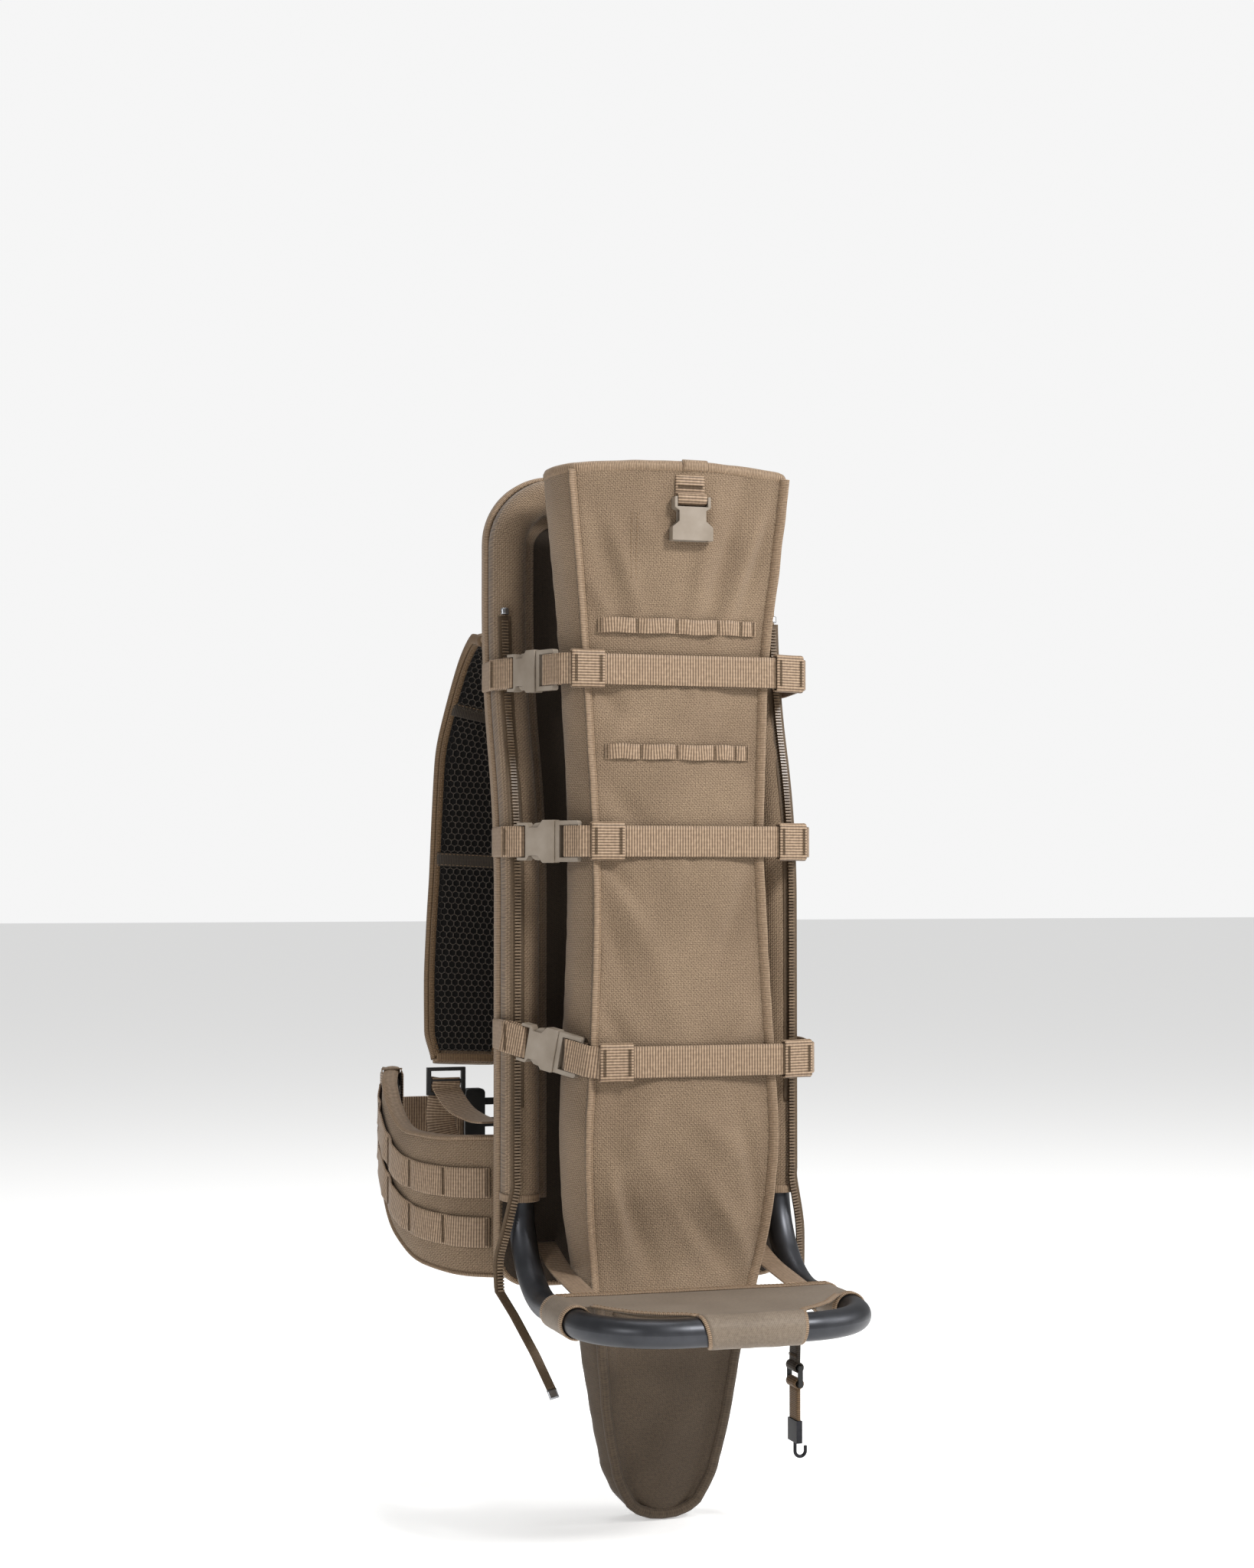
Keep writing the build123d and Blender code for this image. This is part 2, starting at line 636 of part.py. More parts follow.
def make_shelf_sling():
    reach = tube_radius + sling_clearance
    outer = reach + sling_thickness
    top = shelf_z + reach

    def wrap(length):
        return Rot(0, 90, 0) * (Cylinder(outer, length) - Cylinder(reach, length + 2))

    deck = Pos(0, (sling_rear_y + shelf_front_y) / 2, top + sling_thickness / 2) * Box(
        2 * leg_x, sling_rear_y - shelf_front_y, sling_thickness
    )
    length = sling_rear_y - sling_side_front_y
    corner_length = sling_side_front_y - shelf_front_y + 2 * sling_cut_over
    corner_y = (shelf_front_y + sling_side_front_y) / 2 - sling_cut_over
    for side in (-1, 1):
        deck -= Pos(side * leg_x, corner_y, top) * Box(sling_corner_width, corner_length, sling_cut_over)
    for side, edge in ((-1, sling_front_wrap[0]), (1, sling_front_wrap[1])):
        window = leg_x - side * edge + sling_cut_over
        middle = edge + side * window / 2
        place = Pos(middle, shelf_front_y + sling_window_depth / 2 - 3, top)
        deck -= place * Box(window, sling_window_depth, sling_cut_over)
    for side in (-1, 1):
        deck += Pos(side * leg_x, sling_rear_y - length / 2, shelf_z) * (Rot(0, 0, 90) * wrap(length))
    width = sling_front_wrap[1] - sling_front_wrap[0]
    front_wrap = Pos(sum(sling_front_wrap) / 2, shelf_front_y, shelf_z) * wrap(width)
    save("shelf_sling", deck + front_wrap)

    anchors = []
    for side in (-1, 1):
        points = [
            (sling_rear_y + 1.0, top + sling_thickness / 2),
            (-40.0, top + 10.0),
            (face_offset - 2.0, top + 26.0),
        ]
        path = FilletPolyline(*points, radius=20)
        ribbon = extrude(Plane.YZ * trace(path, webbing_thickness), amount=anchor_width / 2, both=True)
        anchors.append(Pos(side * anchor_x, 0, 0) * ribbon)
    save("shelf_anchor_straps", Compound(anchors))


# ---------------------------------------------------------------- harness
shoulder_side = [  # side view (Y, Z) of the pad's middle line, from the yoke down
    (84.0, 207.0), (108.0, 207.0), (132.0, 178.0), (147.0, 110.0),
    (147.0, 0.0), (136.0, -85.0), (118.0, -160.0),
]
shoulder_centre = [  # (X, Z) of the pad's middle line
    (88.0, 245.0), (100.0, 192.0), (117.0, 110.0), (122.0, 0.0), (129.0, -85.0), (133.0, -175.0),
]
yoke_width = 20.0
swing_gap = 4.6            # yoke to pad, room for the pad to swing
lower_strap_route = [  # (Y, X, Z) from the ladder lock to the panel's lower corner
    (116.0, 148.0, -181.0), (90.0, 142.0, -197.0), (60.0, 132.0, -204.0), (36.0, 126.0, -204.0),
]
belt_plan = [  # (X, Y) of the wing's middle line, from its root to its end
    (84.0, 36.0), (118.0, 41.0), (151.0, 58.0), (174.0, 92.0),
    (185.0, 135.0), (185.0, 178.0), (175.0, 212.0),
]
belt_top = [  # (Y, Z) of the wing's edges, as seen from the side
    (18.0, -214.0), (70.0, -217.0), (118.0, -215.0),
    (148.0, -200.0), (180.0, -179.0), (215.0, -166.0),
]
belt_bottom = [
    (215.0, -242.0), (180.0, -268.0), (140.0, -302.0),
    (95.0, -325.0), (50.0, -334.0), (18.0, -334.0),
]
belt_molle_levels = (0.33, 0.68)   # down the wing's height


def ribbon_face(points, thickness):
    """A band of even thickness about a smooth line through the points, in the XY plane."""
    line = Spline(*points)
    count = 3 * len(points)
    left, right = [], []
    for i in range(count + 1):
        share = i / count
        point, tangent = line @ share, line % share
        normal = Vector(-tangent.Y, tangent.X) * (thickness / 2)
        left.append(point + normal)
        right.append(point - normal)
    edges = [Spline(*left), Spline(*right), Line(left[0], right[0]), Line(left[-1], right[-1])]
    return make_face(edges)


def make_shoulder_straps():
    for side, name in ((-1, "left"), (1, "right")):
        profile = Plane.YZ * ribbon_face(shoulder_side, shoulder_pad_thickness)
        body = extrude(profile, amount=side * 200.0)
        half = shoulder_pad_width / 2
        inner = [(side * (x - half), z) for x, z in shoulder_centre]
        outer = [(side * (x + half), z) for x, z in shoulder_centre]
        edge = [Spline(*inner), Spline(*outer), Line(inner[0], outer[0]), Line(inner[-1], outer[-1])]
        outline = Plane.XZ * make_face(edge)
        pad = body & extrude(outline, amount=300, both=True)
        save(f"shoulder_strap_{name}", pad)

        # ladder lock below the pad, and the webbing from it to the panel's lower corner
        first_y, first_x, first_z = lower_strap_route[0]
        lock = Box(34, 4.5, 24) - Box(27, 10, 18) + Box(28, 4.0, 3.4)
        save(f"ladder_lock_{name}", Pos(side * first_x, first_y + 3.4, first_z + 6.0) * lock)
        faces = [
            Plane(origin=(side * x, y, z), x_dir=(1, 0, 0), z_dir=(0, -1, 0))
            * Rectangle(webbing_width, webbing_thickness)
            for y, x, z in lower_strap_route
        ]
        save(f"lower_strap_{name}", loft(faces, ruled=True))

    top_y, top_z = shoulder_side[0]
    panel_rear = pad_offset + frame_y(top_z) + curve_clearance
    depth = top_y - swing_gap - panel_rear
    last_y, _, last_z = lower_strap_route[-1]
    tab_depth = last_y - swing_gap - pad_offset
    anchors = []
    for side in (-1, 1):
        place = Pos(side * (shoulder_centre[0][0] + 6.0), panel_rear + depth / 2, top_z)
        anchors.append(place * Box(yoke_width, depth, shoulder_pad_thickness))
        place = Pos(side * (panel_half_width - 10.0), pad_offset + tab_depth / 2, last_z)
        anchors.append(place * Box(18.0, tab_depth, 6.0))
    save("harness_anchors", Compound(anchors))


def belt_face(offset, thickness, start=0.0, end=1.0):
    """A band that follows the wing's plan line, offset outwards, between two shares of its length."""
    line = Spline(*[Vector(x, y) for x, y in belt_plan])
    count = 20
    near, far = [], []
    for i in range(count + 1):
        share = start + (end - start) * i / count
        point, tangent = line @ share, line % share
        normal = Vector(tangent.Y, -tangent.X)
        near.append(point + normal * offset)
        far.append(point + normal * (offset + thickness))
    return make_face([Spline(*near), Spline(*far), Line(near[0], far[0]), Line(near[-1], far[-1])])


def belt_cut(top_drop, bottom_rise):
    """The wing's side outline (Y, Z), moved in from its top and bottom edges."""
    top = [Vector(y, z - top_drop) for y, z in belt_top]
    low = [Vector(y, z + bottom_rise) for y, z in belt_bottom]
    edges = [Spline(*top), Spline(*low), Line(top[-1], low[0]), Line(low[-1], top[0])]
    return extrude(Plane.YZ * make_face(edges), amount=260, both=True)


def belt_band(level, width):
    """A row of webbing on the wing: a band of its side outline about a level, in shares of its height."""
    def at(y, table):
        for (y0, z0), (y1, z1) in zip(table, table[1:]):
            if min(y0, y1) <= y <= max(y0, y1):
                return z0 + (z1 - z0) * (y - y0) / (y1 - y0)
        raise ValueError(y)

    line = []
    for y in (24.0, 60.0, 100.0, 140.0, 175.0, 205.0):
        top, low = at(y, belt_top), at(y, belt_bottom)
        line.append((y, top + (low - top) * level))
    upper = [Vector(y, z + width / 2) for y, z in line]
    lower = [Vector(y, z - width / 2) for y, z in line]
    edges = [Spline(*upper), Spline(*lower), Line(upper[0], lower[0]), Line(upper[-1], lower[-1])]
    return extrude(Plane.YZ * make_face(edges), amount=260, both=True)


def mirrored(shape, side):
    """A wing piece on its own side; the right wing rests turned in further about its root."""
    if side < 0:
        return mirror(shape, about=Plane.YZ)
    x, y = belt_root
    return Pos(x, y, 0) * Rot(0, 0, right_wing_turn) * Pos(-x, -y, 0) * shape


def make_hip_belt():
    pad_half = belt_thickness / 2
    for side, name in ((-1, "left"), (1, "right")):
        wing = extrude(belt_face(-pad_half, belt_thickness), amount=400, both=True) & belt_cut(0, 0)
        save(f"belt_wing_{name}", mirrored(wing, side))

        rows = []
        for level in belt_molle_levels:
            skin = extrude(belt_face(pad_half + 0.3, 1.6, 0.22, 0.97), amount=400, both=True)
            rows.append(mirrored(skin & belt_band(level, webbing_width), side))
        save(f"belt_molle_{name}", Compound(rows))

        # webbing at the wing's end, turned in across the wearer's front
        end_x, end_y = belt_plan[-1]
        path = FilletPolyline(
            (end_x - 1.0, end_y + 2.0),
            (end_x - 12.0, end_y + belt_turn),
            (belt_buckle_x, end_y + belt_turn),
            radius=14,
        )
        ribbon = extrude(trace(path, belt_webbing_thickness), amount=belt_webbing_width)
        low = belt_webbing_z - belt_webbing_width / 2
        save(f"belt_strap_{name}", mirrored(Pos(0, 0, low) * ribbon, side))
    at = (belt_buckle_x - 0.6, belt_plan[-1][1] + belt_turn, belt_webbing_z)
    place = Plane(origin=at, x_dir=(-1, 0, 0), z_dir=(0, 1, 0)).location
    save("belt_buckle_socket", mirrored(place * belt_socket(), 1))
    save("belt_buckle_plug", mirrored(place * belt_plug(), -1))


def belt_socket():
    body = Pos(25, 0, 0) * Box(50, 62, 13)
    body = fillet(body.edges().filter_by(Axis.Z), 6.0)
    body -= Pos(30, 0, 0) * Box(42, 52, 7.5)
    for side in (-1, 1):
        body -= Pos(24, side * 29, 0) * Box(15, 12, 20)
    return body


def belt_plug():
    body = Pos(9, 0, 0) * Box(18, 62, 11)
    body = fillet(body.edges().filter_by(Axis.Z), 4.0)
    body += Pos(30, 0, 0) * Box(30, 8, 6.5)
    for side in (-1, 1):
        body += Pos(29, side * 19, 0) * Box(26, 6, 6.5)
        body += Pos(39, side * 23, 0) * Box(7, 6, 6.5)
    return body


# ---------------------------------------------------------------- lashing strap with its hook
lash_width = 20.0
lash_x = 92.0
lash_y = -97.0
lash_gap = 1.0             # below the sling's cloth
triglide_drop = 66.0
end_length = 26.0
crimp_length = 18.0
hook_wire = 1.4
hook_radius = 4.5


def make_lash_strap():
    """Hangs from the sling's underside: a fold of webbing, a triglide, a short end and a wire hook."""
    top = shelf_z + tube_radius + sling_clearance - lash_gap
    middle = top - triglide_drop
    thick = webbing_thickness
    upper = Pos(lash_x, lash_y, (top + middle + 4.0) / 2) * Box(2 * thick, lash_width, top - middle - 4.0)
    loop = Pos(lash_x, lash_y, middle) * Rot(90, 0, 0) * (Cylinder(4.4, lash_width) - Cylinder(2.8, 30))
    save("lash_loop", upper + loop)

    bars = Cylinder(2.2, lash_width + 6) + Pos(0, -13, 0) * Cylinder(2.2, lash_width + 6)
    bars = Rot(90, 0, 0) * bars
    for side in (-1, 1):
        bars += Pos(0, side * (lash_width + 4.6) / 2, -6.5) * Box(3.6, 2.6, 17.4)
    save("lash_triglide", Pos(lash_x, lash_y, middle) * bars)

    pivot = middle - 13
    loop = Rot(90, 0, 0) * (Cylinder(4.4, lash_width) - Cylinder(2.8, 30))
    strap = Pos(0, 0, -3.6 - end_length / 2) * Box(2 * thick, lash_width, end_length)
    save("lash_end", Pos(lash_x, lash_y, pivot) * (loop + strap))
    crimp_top = pivot - 3.6 - end_length - 0.2
    crimp = Pos(lash_x, lash_y, crimp_top - crimp_length / 2) * Box(5.0, lash_width, crimp_length)
    foot = crimp_top - crimp_length
    bend = foot - 8
    far = lash_x + 2 * hook_radius
    wire = Wire([
        Line((lash_x, lash_y, foot + 2), (lash_x, lash_y, bend)),
        ThreePointArc(
            (lash_x, lash_y, bend), (lash_x + hook_radius, lash_y, bend - hook_radius), (far, lash_y, bend)
        ),
        Line((far, lash_y, bend), (far, lash_y, bend + 4)),
    ])
    save("lash_hook", crimp + swept_tube(wire, (lash_x, lash_y, foot + 2), (0, 0, -1), hook_wire))


make_frame()
make_panel()
make_sleeves()
make_zips()
make_scabbard()
make_cross_straps()
make_lid_buckle()
make_shelf_sling()
make_shoulder_straps()
make_hip_belt()
make_lash_strap()

os.makedirs("parts", exist_ok=True)
for name, shape in parts.items():
    export_step(shape, f"parts/{name}.step")
print(len(parts), "nodes")
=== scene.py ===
import math
import bpy
import bmesh
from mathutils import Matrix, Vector, noise


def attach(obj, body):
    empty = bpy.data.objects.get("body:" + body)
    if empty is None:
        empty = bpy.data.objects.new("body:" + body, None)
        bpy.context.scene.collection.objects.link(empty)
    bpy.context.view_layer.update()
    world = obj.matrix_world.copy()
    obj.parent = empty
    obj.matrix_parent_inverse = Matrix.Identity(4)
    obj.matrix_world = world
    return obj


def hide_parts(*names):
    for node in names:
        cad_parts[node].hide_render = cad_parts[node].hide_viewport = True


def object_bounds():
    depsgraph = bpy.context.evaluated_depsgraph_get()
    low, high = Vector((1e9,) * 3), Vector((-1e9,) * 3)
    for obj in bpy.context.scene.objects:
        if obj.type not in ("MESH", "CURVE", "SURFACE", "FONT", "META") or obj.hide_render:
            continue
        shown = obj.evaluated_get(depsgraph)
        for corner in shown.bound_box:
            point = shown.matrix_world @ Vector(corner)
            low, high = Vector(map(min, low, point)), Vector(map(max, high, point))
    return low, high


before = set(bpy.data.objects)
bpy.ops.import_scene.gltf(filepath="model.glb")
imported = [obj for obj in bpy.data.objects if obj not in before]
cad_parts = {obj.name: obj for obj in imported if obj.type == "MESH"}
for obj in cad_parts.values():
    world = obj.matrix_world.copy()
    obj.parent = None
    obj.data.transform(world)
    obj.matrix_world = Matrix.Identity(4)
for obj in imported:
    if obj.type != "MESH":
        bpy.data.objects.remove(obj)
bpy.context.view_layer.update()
mm = 0.001
print("frame loaded:", len(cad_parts), "nodes")


# small tools; vectors are in millimetres until a piece is built
def lerp(a, b, t):
    return a + (b - a) * t


def steps(a, b, count):  # count + 1 even values from a to b
    return [lerp(a, b, i / count) for i in range(count + 1)]


def turns(count):  # the angles of count points round a circle
    return [2 * math.pi * i / count for i in range(count)]


def smooth(low, high, x):
    t = min(1.0, max(0.0, (x - low) / (high - low)))
    return t * t * (3 - 2 * t)


def splinePoint(points, t):
    count = len(points) - 1
    i = min(count - 1, max(0, int(t * count)))
    f = t * count - i
    p0, p1, p2, p3 = points[max(0, i - 1)], points[i], points[i + 1], points[min(count, i + 2)]
    return tuple(
        0.5 * (2 * b + (c - a) * f + (2 * a - 5 * b + 4 * c - d) * f * f + (3 * b - a - 3 * c + d) * f ** 3)
        for a, b, c, d in zip(p0, p1, p2, p3))


def splineLine(points, count):
    return [Vector(splinePoint(points, i / count)) for i in range(count + 1)]


def table(rows, x):  # straight-line reading of (x, value) rows that run either way
    for (x0, y0), (x1, y1) in zip(rows, rows[1:]):
        if min(x0, x1) <= x <= max(x0, x1):
            return y0 + (y1 - y0) * (x - x0) / (x1 - x0)
    near = min(rows, key=lambda row: abs(row[0] - x))
    return near[1]


def filleted(points, radius, steps=6):  # a polyline with its corners rounded
    points = [Vector(p) for p in points]
    line = [points[0]]
    for a, b, c in zip(points, points[1:], points[2:]):
        reach = min(radius, 0.48 * (b - a).length, 0.48 * (c - b).length)
        start, end = b + (a - b).normalized() * reach, b + (c - b).normalized() * reach
        for i in range(steps + 1):
            t = i / steps
            line.append(start * (1 - t) ** 2 + b * 2 * t * (1 - t) + end * t * t)
    return line + [points[-1]]


def resampled(line, step, closed=False):
    line = [Vector(p) for p in line]
    if closed:
        line = line + [line[0]]
    lengths = [0.0]
    for a, b in zip(line, line[1:]):
        lengths.append(lengths[-1] + (b - a).length)
    count = max(2, round(lengths[-1] / step))
    result, k = [], 0
    for i in range(count if closed else count + 1):
        s = lengths[-1] * i / count
        while k < len(lengths) - 2 and lengths[k + 1] < s:
            k += 1
        span = lengths[k + 1] - lengths[k]
        result.append(line[k].lerp(line[k + 1], 0 if span == 0 else (s - lengths[k]) / span))
    return result


def tangents(line, closed=False):
    count = len(line)
    result = []
    for i in range(count):
        before = line[i - 1] if closed or i > 0 else line[i]
        after = line[(i + 1) % count] if closed or i < count - 1 else line[i]
        result.append((after - before).normalized())
    return result


def capped(chunk, size):  # rings of size points, with both ends of the tube closed
    verts, faces, uvs = chunk
    last = len(verts) - size
    return verts, faces + [tuple(range(size - 1, -1, -1)), tuple(range(last, last + size))], uvs


def sweep(line, across, profile, closed=False, scale=None):
    line = [Vector(p) for p in line]
    along = tangents(line, closed)
    verts, faces, uvs, travelled = [], [], [], 0.0
    size = len(profile)
    for i, (point, tangent) in enumerate(zip(line, along)):
        if i:
            travelled += (point - line[i - 1]).length
        wide = across(i, point, tangent) if callable(across) else Vector(across)
        wide = (wide - tangent * wide.dot(tangent)).normalized()
        out = tangent.cross(wide).normalized()
        grow = scale(i / max(1, len(line) - 1)) if scale else 1.0
        for a, b in profile:
            verts.append(point + wide * (a * grow) + out * (b * grow))
            uvs.append((a, travelled))
    rings = len(line)
    for i in range(rings if closed else rings - 1):
        for j in range(size):
            k = (j + 1) % size
            n = (i + 1) % rings
            faces.append((i * size + j, i * size + k, n * size + k, n * size + j))
    return (verts, faces, uvs) if closed else capped((verts, faces, uvs), size)


def tape(width, thick, inner=5, crown=0.0):  # a webbing section with rounded edges
    w, t = width / 2, thick / 2
    top = [(-w, 0)] + [(-w + 0.35 * t, 0.7 * t)]
    for i in range(inner):
        x = lerp(-w + t, w - t, i / (inner - 1))
        top.append((x, t + crown * (1 - (x / w) ** 2)))
    top += [(w - 0.35 * t, 0.7 * t)]
    low = [(w, 0), (w - 0.35 * t, -0.7 * t)]
    for i in range(inner):
        x = lerp(w - t, -w + t, i / (inner - 1))
        low.append((x, -t + crown * (1 - (x / w) ** 2)))
    low += [(-w + 0.35 * t, -0.7 * t)]
    return top + low


def oval(a, b, count=12):
    return [(a * math.cos(turn), b * math.sin(turn)) for turn in turns(count)]


def strip(points, across, width, thick, radius=0.0, step=2.5, crown=0.0, closed=False):
    line = filleted(points, radius) if radius else [Vector(p) for p in points]
    return sweep(resampled(line, step, closed), across, tape(width, thick, crown=crown), closed)


def shellFaces(nu, nv):  # two layers of nu by nv points, joined round their rim
    count, faces = nu * nv, []
    for i in range(nu - 1):
        for j in range(nv - 1):
            a, b = i * nv + j, (i + 1) * nv + j
            faces += [(a, b, b + 1, a + 1), (count + a + 1, count + b + 1, count + b, count + a)]
    rim = [i * nv for i in range(nu)] + [(nu - 1) * nv + j for j in range(1, nv)]
    rim += [i * nv + nv - 1 for i in range(nu - 2, -1, -1)] + [j for j in range(nv - 2, 0, -1)]
    return faces + [(b, a, count + a, count + b) for a, b in zip(rim, rim[1:] + rim[:1])]


def sheetGrid(surface, us, vs, thick):  # a sheet over surface(u, v), with UVs at its real lengths
    nu, nv = len(us), len(vs)
    grid = [[Vector(surface(u, v)) for v in vs] for u in us]
    near, far = [], []
    across = [[0.0] * nv for _ in us]
    along = [[0.0] * nv for _ in us]
    for i in range(nu):
        for j in range(nv):
            du = grid[min(i + 1, nu - 1)][j] - grid[max(i - 1, 0)][j]
            dv = grid[i][min(j + 1, nv - 1)] - grid[i][max(j - 1, 0)]
            near.append(grid[i][j])
            far.append(grid[i][j] + du.cross(dv).normalized() * thick)
            if i:
                across[i][j] = across[i - 1][j] + (grid[i][j] - grid[i - 1][j]).length
            if j:
                along[i][j] = along[i][j - 1] + (grid[i][j] - grid[i][j - 1]).length
    uvs = [(across[i][j] - across[nu // 2][j], along[i][j]) for i in range(nu) for j in range(nv)] * 2
    return near + far, shellFaces(nu, nv), uvs


def makeObject(name, chunks, materials):
    verts, faces, uvs = [], [], []
    for v, f, uv in chunks:
        start = len(verts)
        verts += [Vector(p) * mm for p in v]
        faces += [tuple(start + k for k in face) for face in f]
        uvs += [(a * mm, b * mm) for a, b in uv]
    mesh = bpy.data.meshes.new(name)
    mesh.from_pydata(verts, [], faces)
    for material in materials:
        mesh.materials.append(material)
    layer = mesh.uv_layers.new(name="cloth")
    loops = [0] * len(mesh.loops)
    mesh.loops.foreach_get("vertex_index", loops)
    layer.data.foreach_set("uv", [c for k in loops for c in uvs[k]])
    obj = bpy.data.objects.new(name, mesh)
    bpy.context.scene.collection.objects.link(obj)
    return obj


def turnedToMesh(obj):  # what the modifiers make becomes the object's own mesh
    bpy.context.view_layer.update()
    made = bpy.data.meshes.new_from_object(obj.evaluated_get(bpy.context.evaluated_depsgraph_get()))
    obj.modifiers.clear()
    obj.data = made
    return made


def build(name, body, chunks, materials, nodes=()):
    obj = makeObject(name, chunks, materials if isinstance(materials, list) else [materials])
    work = bmesh.new()
    work.from_mesh(obj.data)
    bmesh.ops.recalc_face_normals(work, faces=work.faces)
    work.to_mesh(obj.data)
    work.free()
    obj.data.shade_smooth()
    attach(obj, body)
    if nodes:
        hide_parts(*nodes)
    return obj


# materials
def linear(hexColour):  # sRGB hex to the linear values that Blender works in
    channels = [int(hexColour[i:i + 2], 16) / 255 for i in (1, 3, 5)]
    return tuple(c / 12.92 if c <= 0.04045 else ((c + 0.055) / 1.055) ** 2.4 for c in channels) + (1.0,)


def addNode(tree, kind, inputs=None, **settings):
    node = tree.nodes.new(kind)
    for key, value in settings.items():
        setattr(node, key, value)
    for key, value in (inputs or {}).items():
        if isinstance(value, bpy.types.NodeSocket):
            tree.links.new(value, node.inputs[key])
        else:
            node.inputs[key].default_value = value
    return node


def startMaterial(name):
    material = bpy.data.materials.new(name)
    material.use_nodes = True
    material.node_tree.nodes.clear()
    return material, material.node_tree


def ramp(tree, factor, stops):
    node = addNode(tree, "ShaderNodeValToRGB", {"Fac": factor})
    elements = node.color_ramp.elements
    while len(elements) < len(stops):
        elements.new(0.5)
    for element, (place, colour) in zip(elements, stops):
        element.position = place
        element.color = linear(colour)
    return node.outputs["Color"]


def calc(tree, operation, a, b=0.0, c=0.0):
    return addNode(tree, "ShaderNodeMath", {0: a, 1: b, 2: c}, operation=operation).outputs[0]


def blendColour(tree, factor, a, b, mode="MIX"):
    node = addNode(tree, "ShaderNodeMix", {0: factor, 6: a, 7: b}, data_type="RGBA", blend_type=mode)
    return node.outputs[2]


def patches(tree, place, size, detail=3.0):  # noise whose patches are about size millimetres
    node = addNode(tree, "ShaderNodeTexNoise", {"Vector": place, "Scale": 1.0 / (size * mm), "Detail": detail})
    return node.outputs["Fac"]


def waves(tree, axis, pitch):  # a sine across one axis, 0 to 1, one cycle each pitch millimetres
    turn = calc(tree, "MULTIPLY", axis, 2 * math.pi / (pitch * mm))
    return calc(tree, "MULTIPLY_ADD", calc(tree, "SINE", turn), 0.5, 0.5)


def finishMaterial(tree, colour, rough, height, bump, depth, fixed):
    normal = addNode(tree, "ShaderNodeBump", {"Strength": bump, "Distance": depth * mm, "Height": height})
    values = {"Base Color": colour, "Roughness": rough, "Normal": normal.outputs["Normal"], **fixed}
    shader = addNode(tree, "ShaderNodeBsdfPrincipled", values)
    addNode(tree, "ShaderNodeOutputMaterial", {"Surface": shader.outputs["BSDF"]})


def wovenCloth(name, data):
    material, tree = startMaterial(name)
    place = addNode(tree, "ShaderNodeTexCoord").outputs["UV"]
    solid = addNode(tree, "ShaderNodeTexCoord").outputs["Object"]
    axes = addNode(tree, "ShaderNodeSeparateXYZ", {"Vector": place}).outputs
    across, along = waves(tree, axes[0], data["threads"][0]), waves(tree, axes[1], data["threads"][1])
    weave = calc(tree, "MULTIPLY", across, along)
    twill = waves(tree, calc(tree, "ADD", axes[0], axes[1]), data["twill"])
    weave = calc(tree, "MULTIPLY_ADD", twill, 0.35, weave)
    fleck = patches(tree, place, data["fleck"])
    shade = calc(tree, "MULTIPLY_ADD", fleck, 0.7, calc(tree, "MULTIPLY", weave, 0.45))
    dark, mid, light = data["colours"]
    colour = ramp(tree, shade, [(0.2, dark), (0.5, mid), (0.85, light)])
    cloud = ramp(tree, patches(tree, solid, data["cloud"]), [(0.3, "#c9c4bf"), (0.7, "#ffffff")])
    colour = blendColour(tree, data["cloudMix"], colour, cloud, "MULTIPLY")
    rough = calc(tree, "MULTIPLY_ADD", fleck, 0.15, data["rough"] - 0.07)
    fixed = {"Sheen Weight": data["sheen"], "Sheen Roughness": 0.5, "IOR": 1.5, "Specular IOR Level": 0.3}
    finishMaterial(tree, colour, rough, weave, data["bump"], data["depth"], fixed)
    return material


def ribbedWebbing(name, data):
    material, tree = startMaterial(name)
    place = addNode(tree, "ShaderNodeTexCoord").outputs["UV"]
    axes = addNode(tree, "ShaderNodeSeparateXYZ", {"Vector": place}).outputs
    rib = waves(tree, axes[1], data["rib"])
    yarn = waves(tree, axes[0], data["yarn"])
    height = calc(tree, "MULTIPLY_ADD", yarn, 0.12, rib)
    fleck = patches(tree, place, data["fleck"])
    shade = calc(tree, "MULTIPLY_ADD", fleck, 0.4, calc(tree, "MULTIPLY", height, 0.42))
    dark, mid, light = data["colours"]
    colour = ramp(tree, shade, [(0.25, dark), (0.55, mid), (0.85, light)])
    rough = calc(tree, "MULTIPLY_ADD", rib, -0.12, data["rough"])
    fixed = {"Sheen Weight": data["sheen"], "Sheen Roughness": 0.4, "IOR": 1.5, "Specular IOR Level": 0.35}
    finishMaterial(tree, colour, rough, height, data["bump"], data["depth"], fixed)
    return material


def mouldedPlastic(name, data):
    material, tree = startMaterial(name)
    solid = addNode(tree, "ShaderNodeTexCoord").outputs["Object"]
    grain = patches(tree, solid, data["grain"], 4.0)
    cloud = patches(tree, solid, data["cloud"])
    colour = ramp(tree, cloud, [(0.3, data["colours"][0]), (0.7, data["colours"][1])])
    rough = calc(tree, "MULTIPLY_ADD", cloud, 0.16, data["rough"] - 0.08)
    edge = addNode(tree, "ShaderNodeBevel", {"Radius": data["edge"] * mm}, samples=4).outputs["Normal"]
    normal = addNode(tree, "ShaderNodeBump", {
        "Strength": data["bump"], "Distance": 0.05 * mm, "Height": grain, "Normal": edge})
    shader = addNode(tree, "ShaderNodeBsdfPrincipled", {
        "Base Color": colour, "Roughness": rough, "Normal": normal.outputs["Normal"],
        "Metallic": data["metal"], "IOR": data["ior"], "Coat Weight": data["coat"], "Coat Roughness": 0.3})
    addNode(tree, "ShaderNodeOutputMaterial", {"Surface": shader.outputs["BSDF"]})
    return material


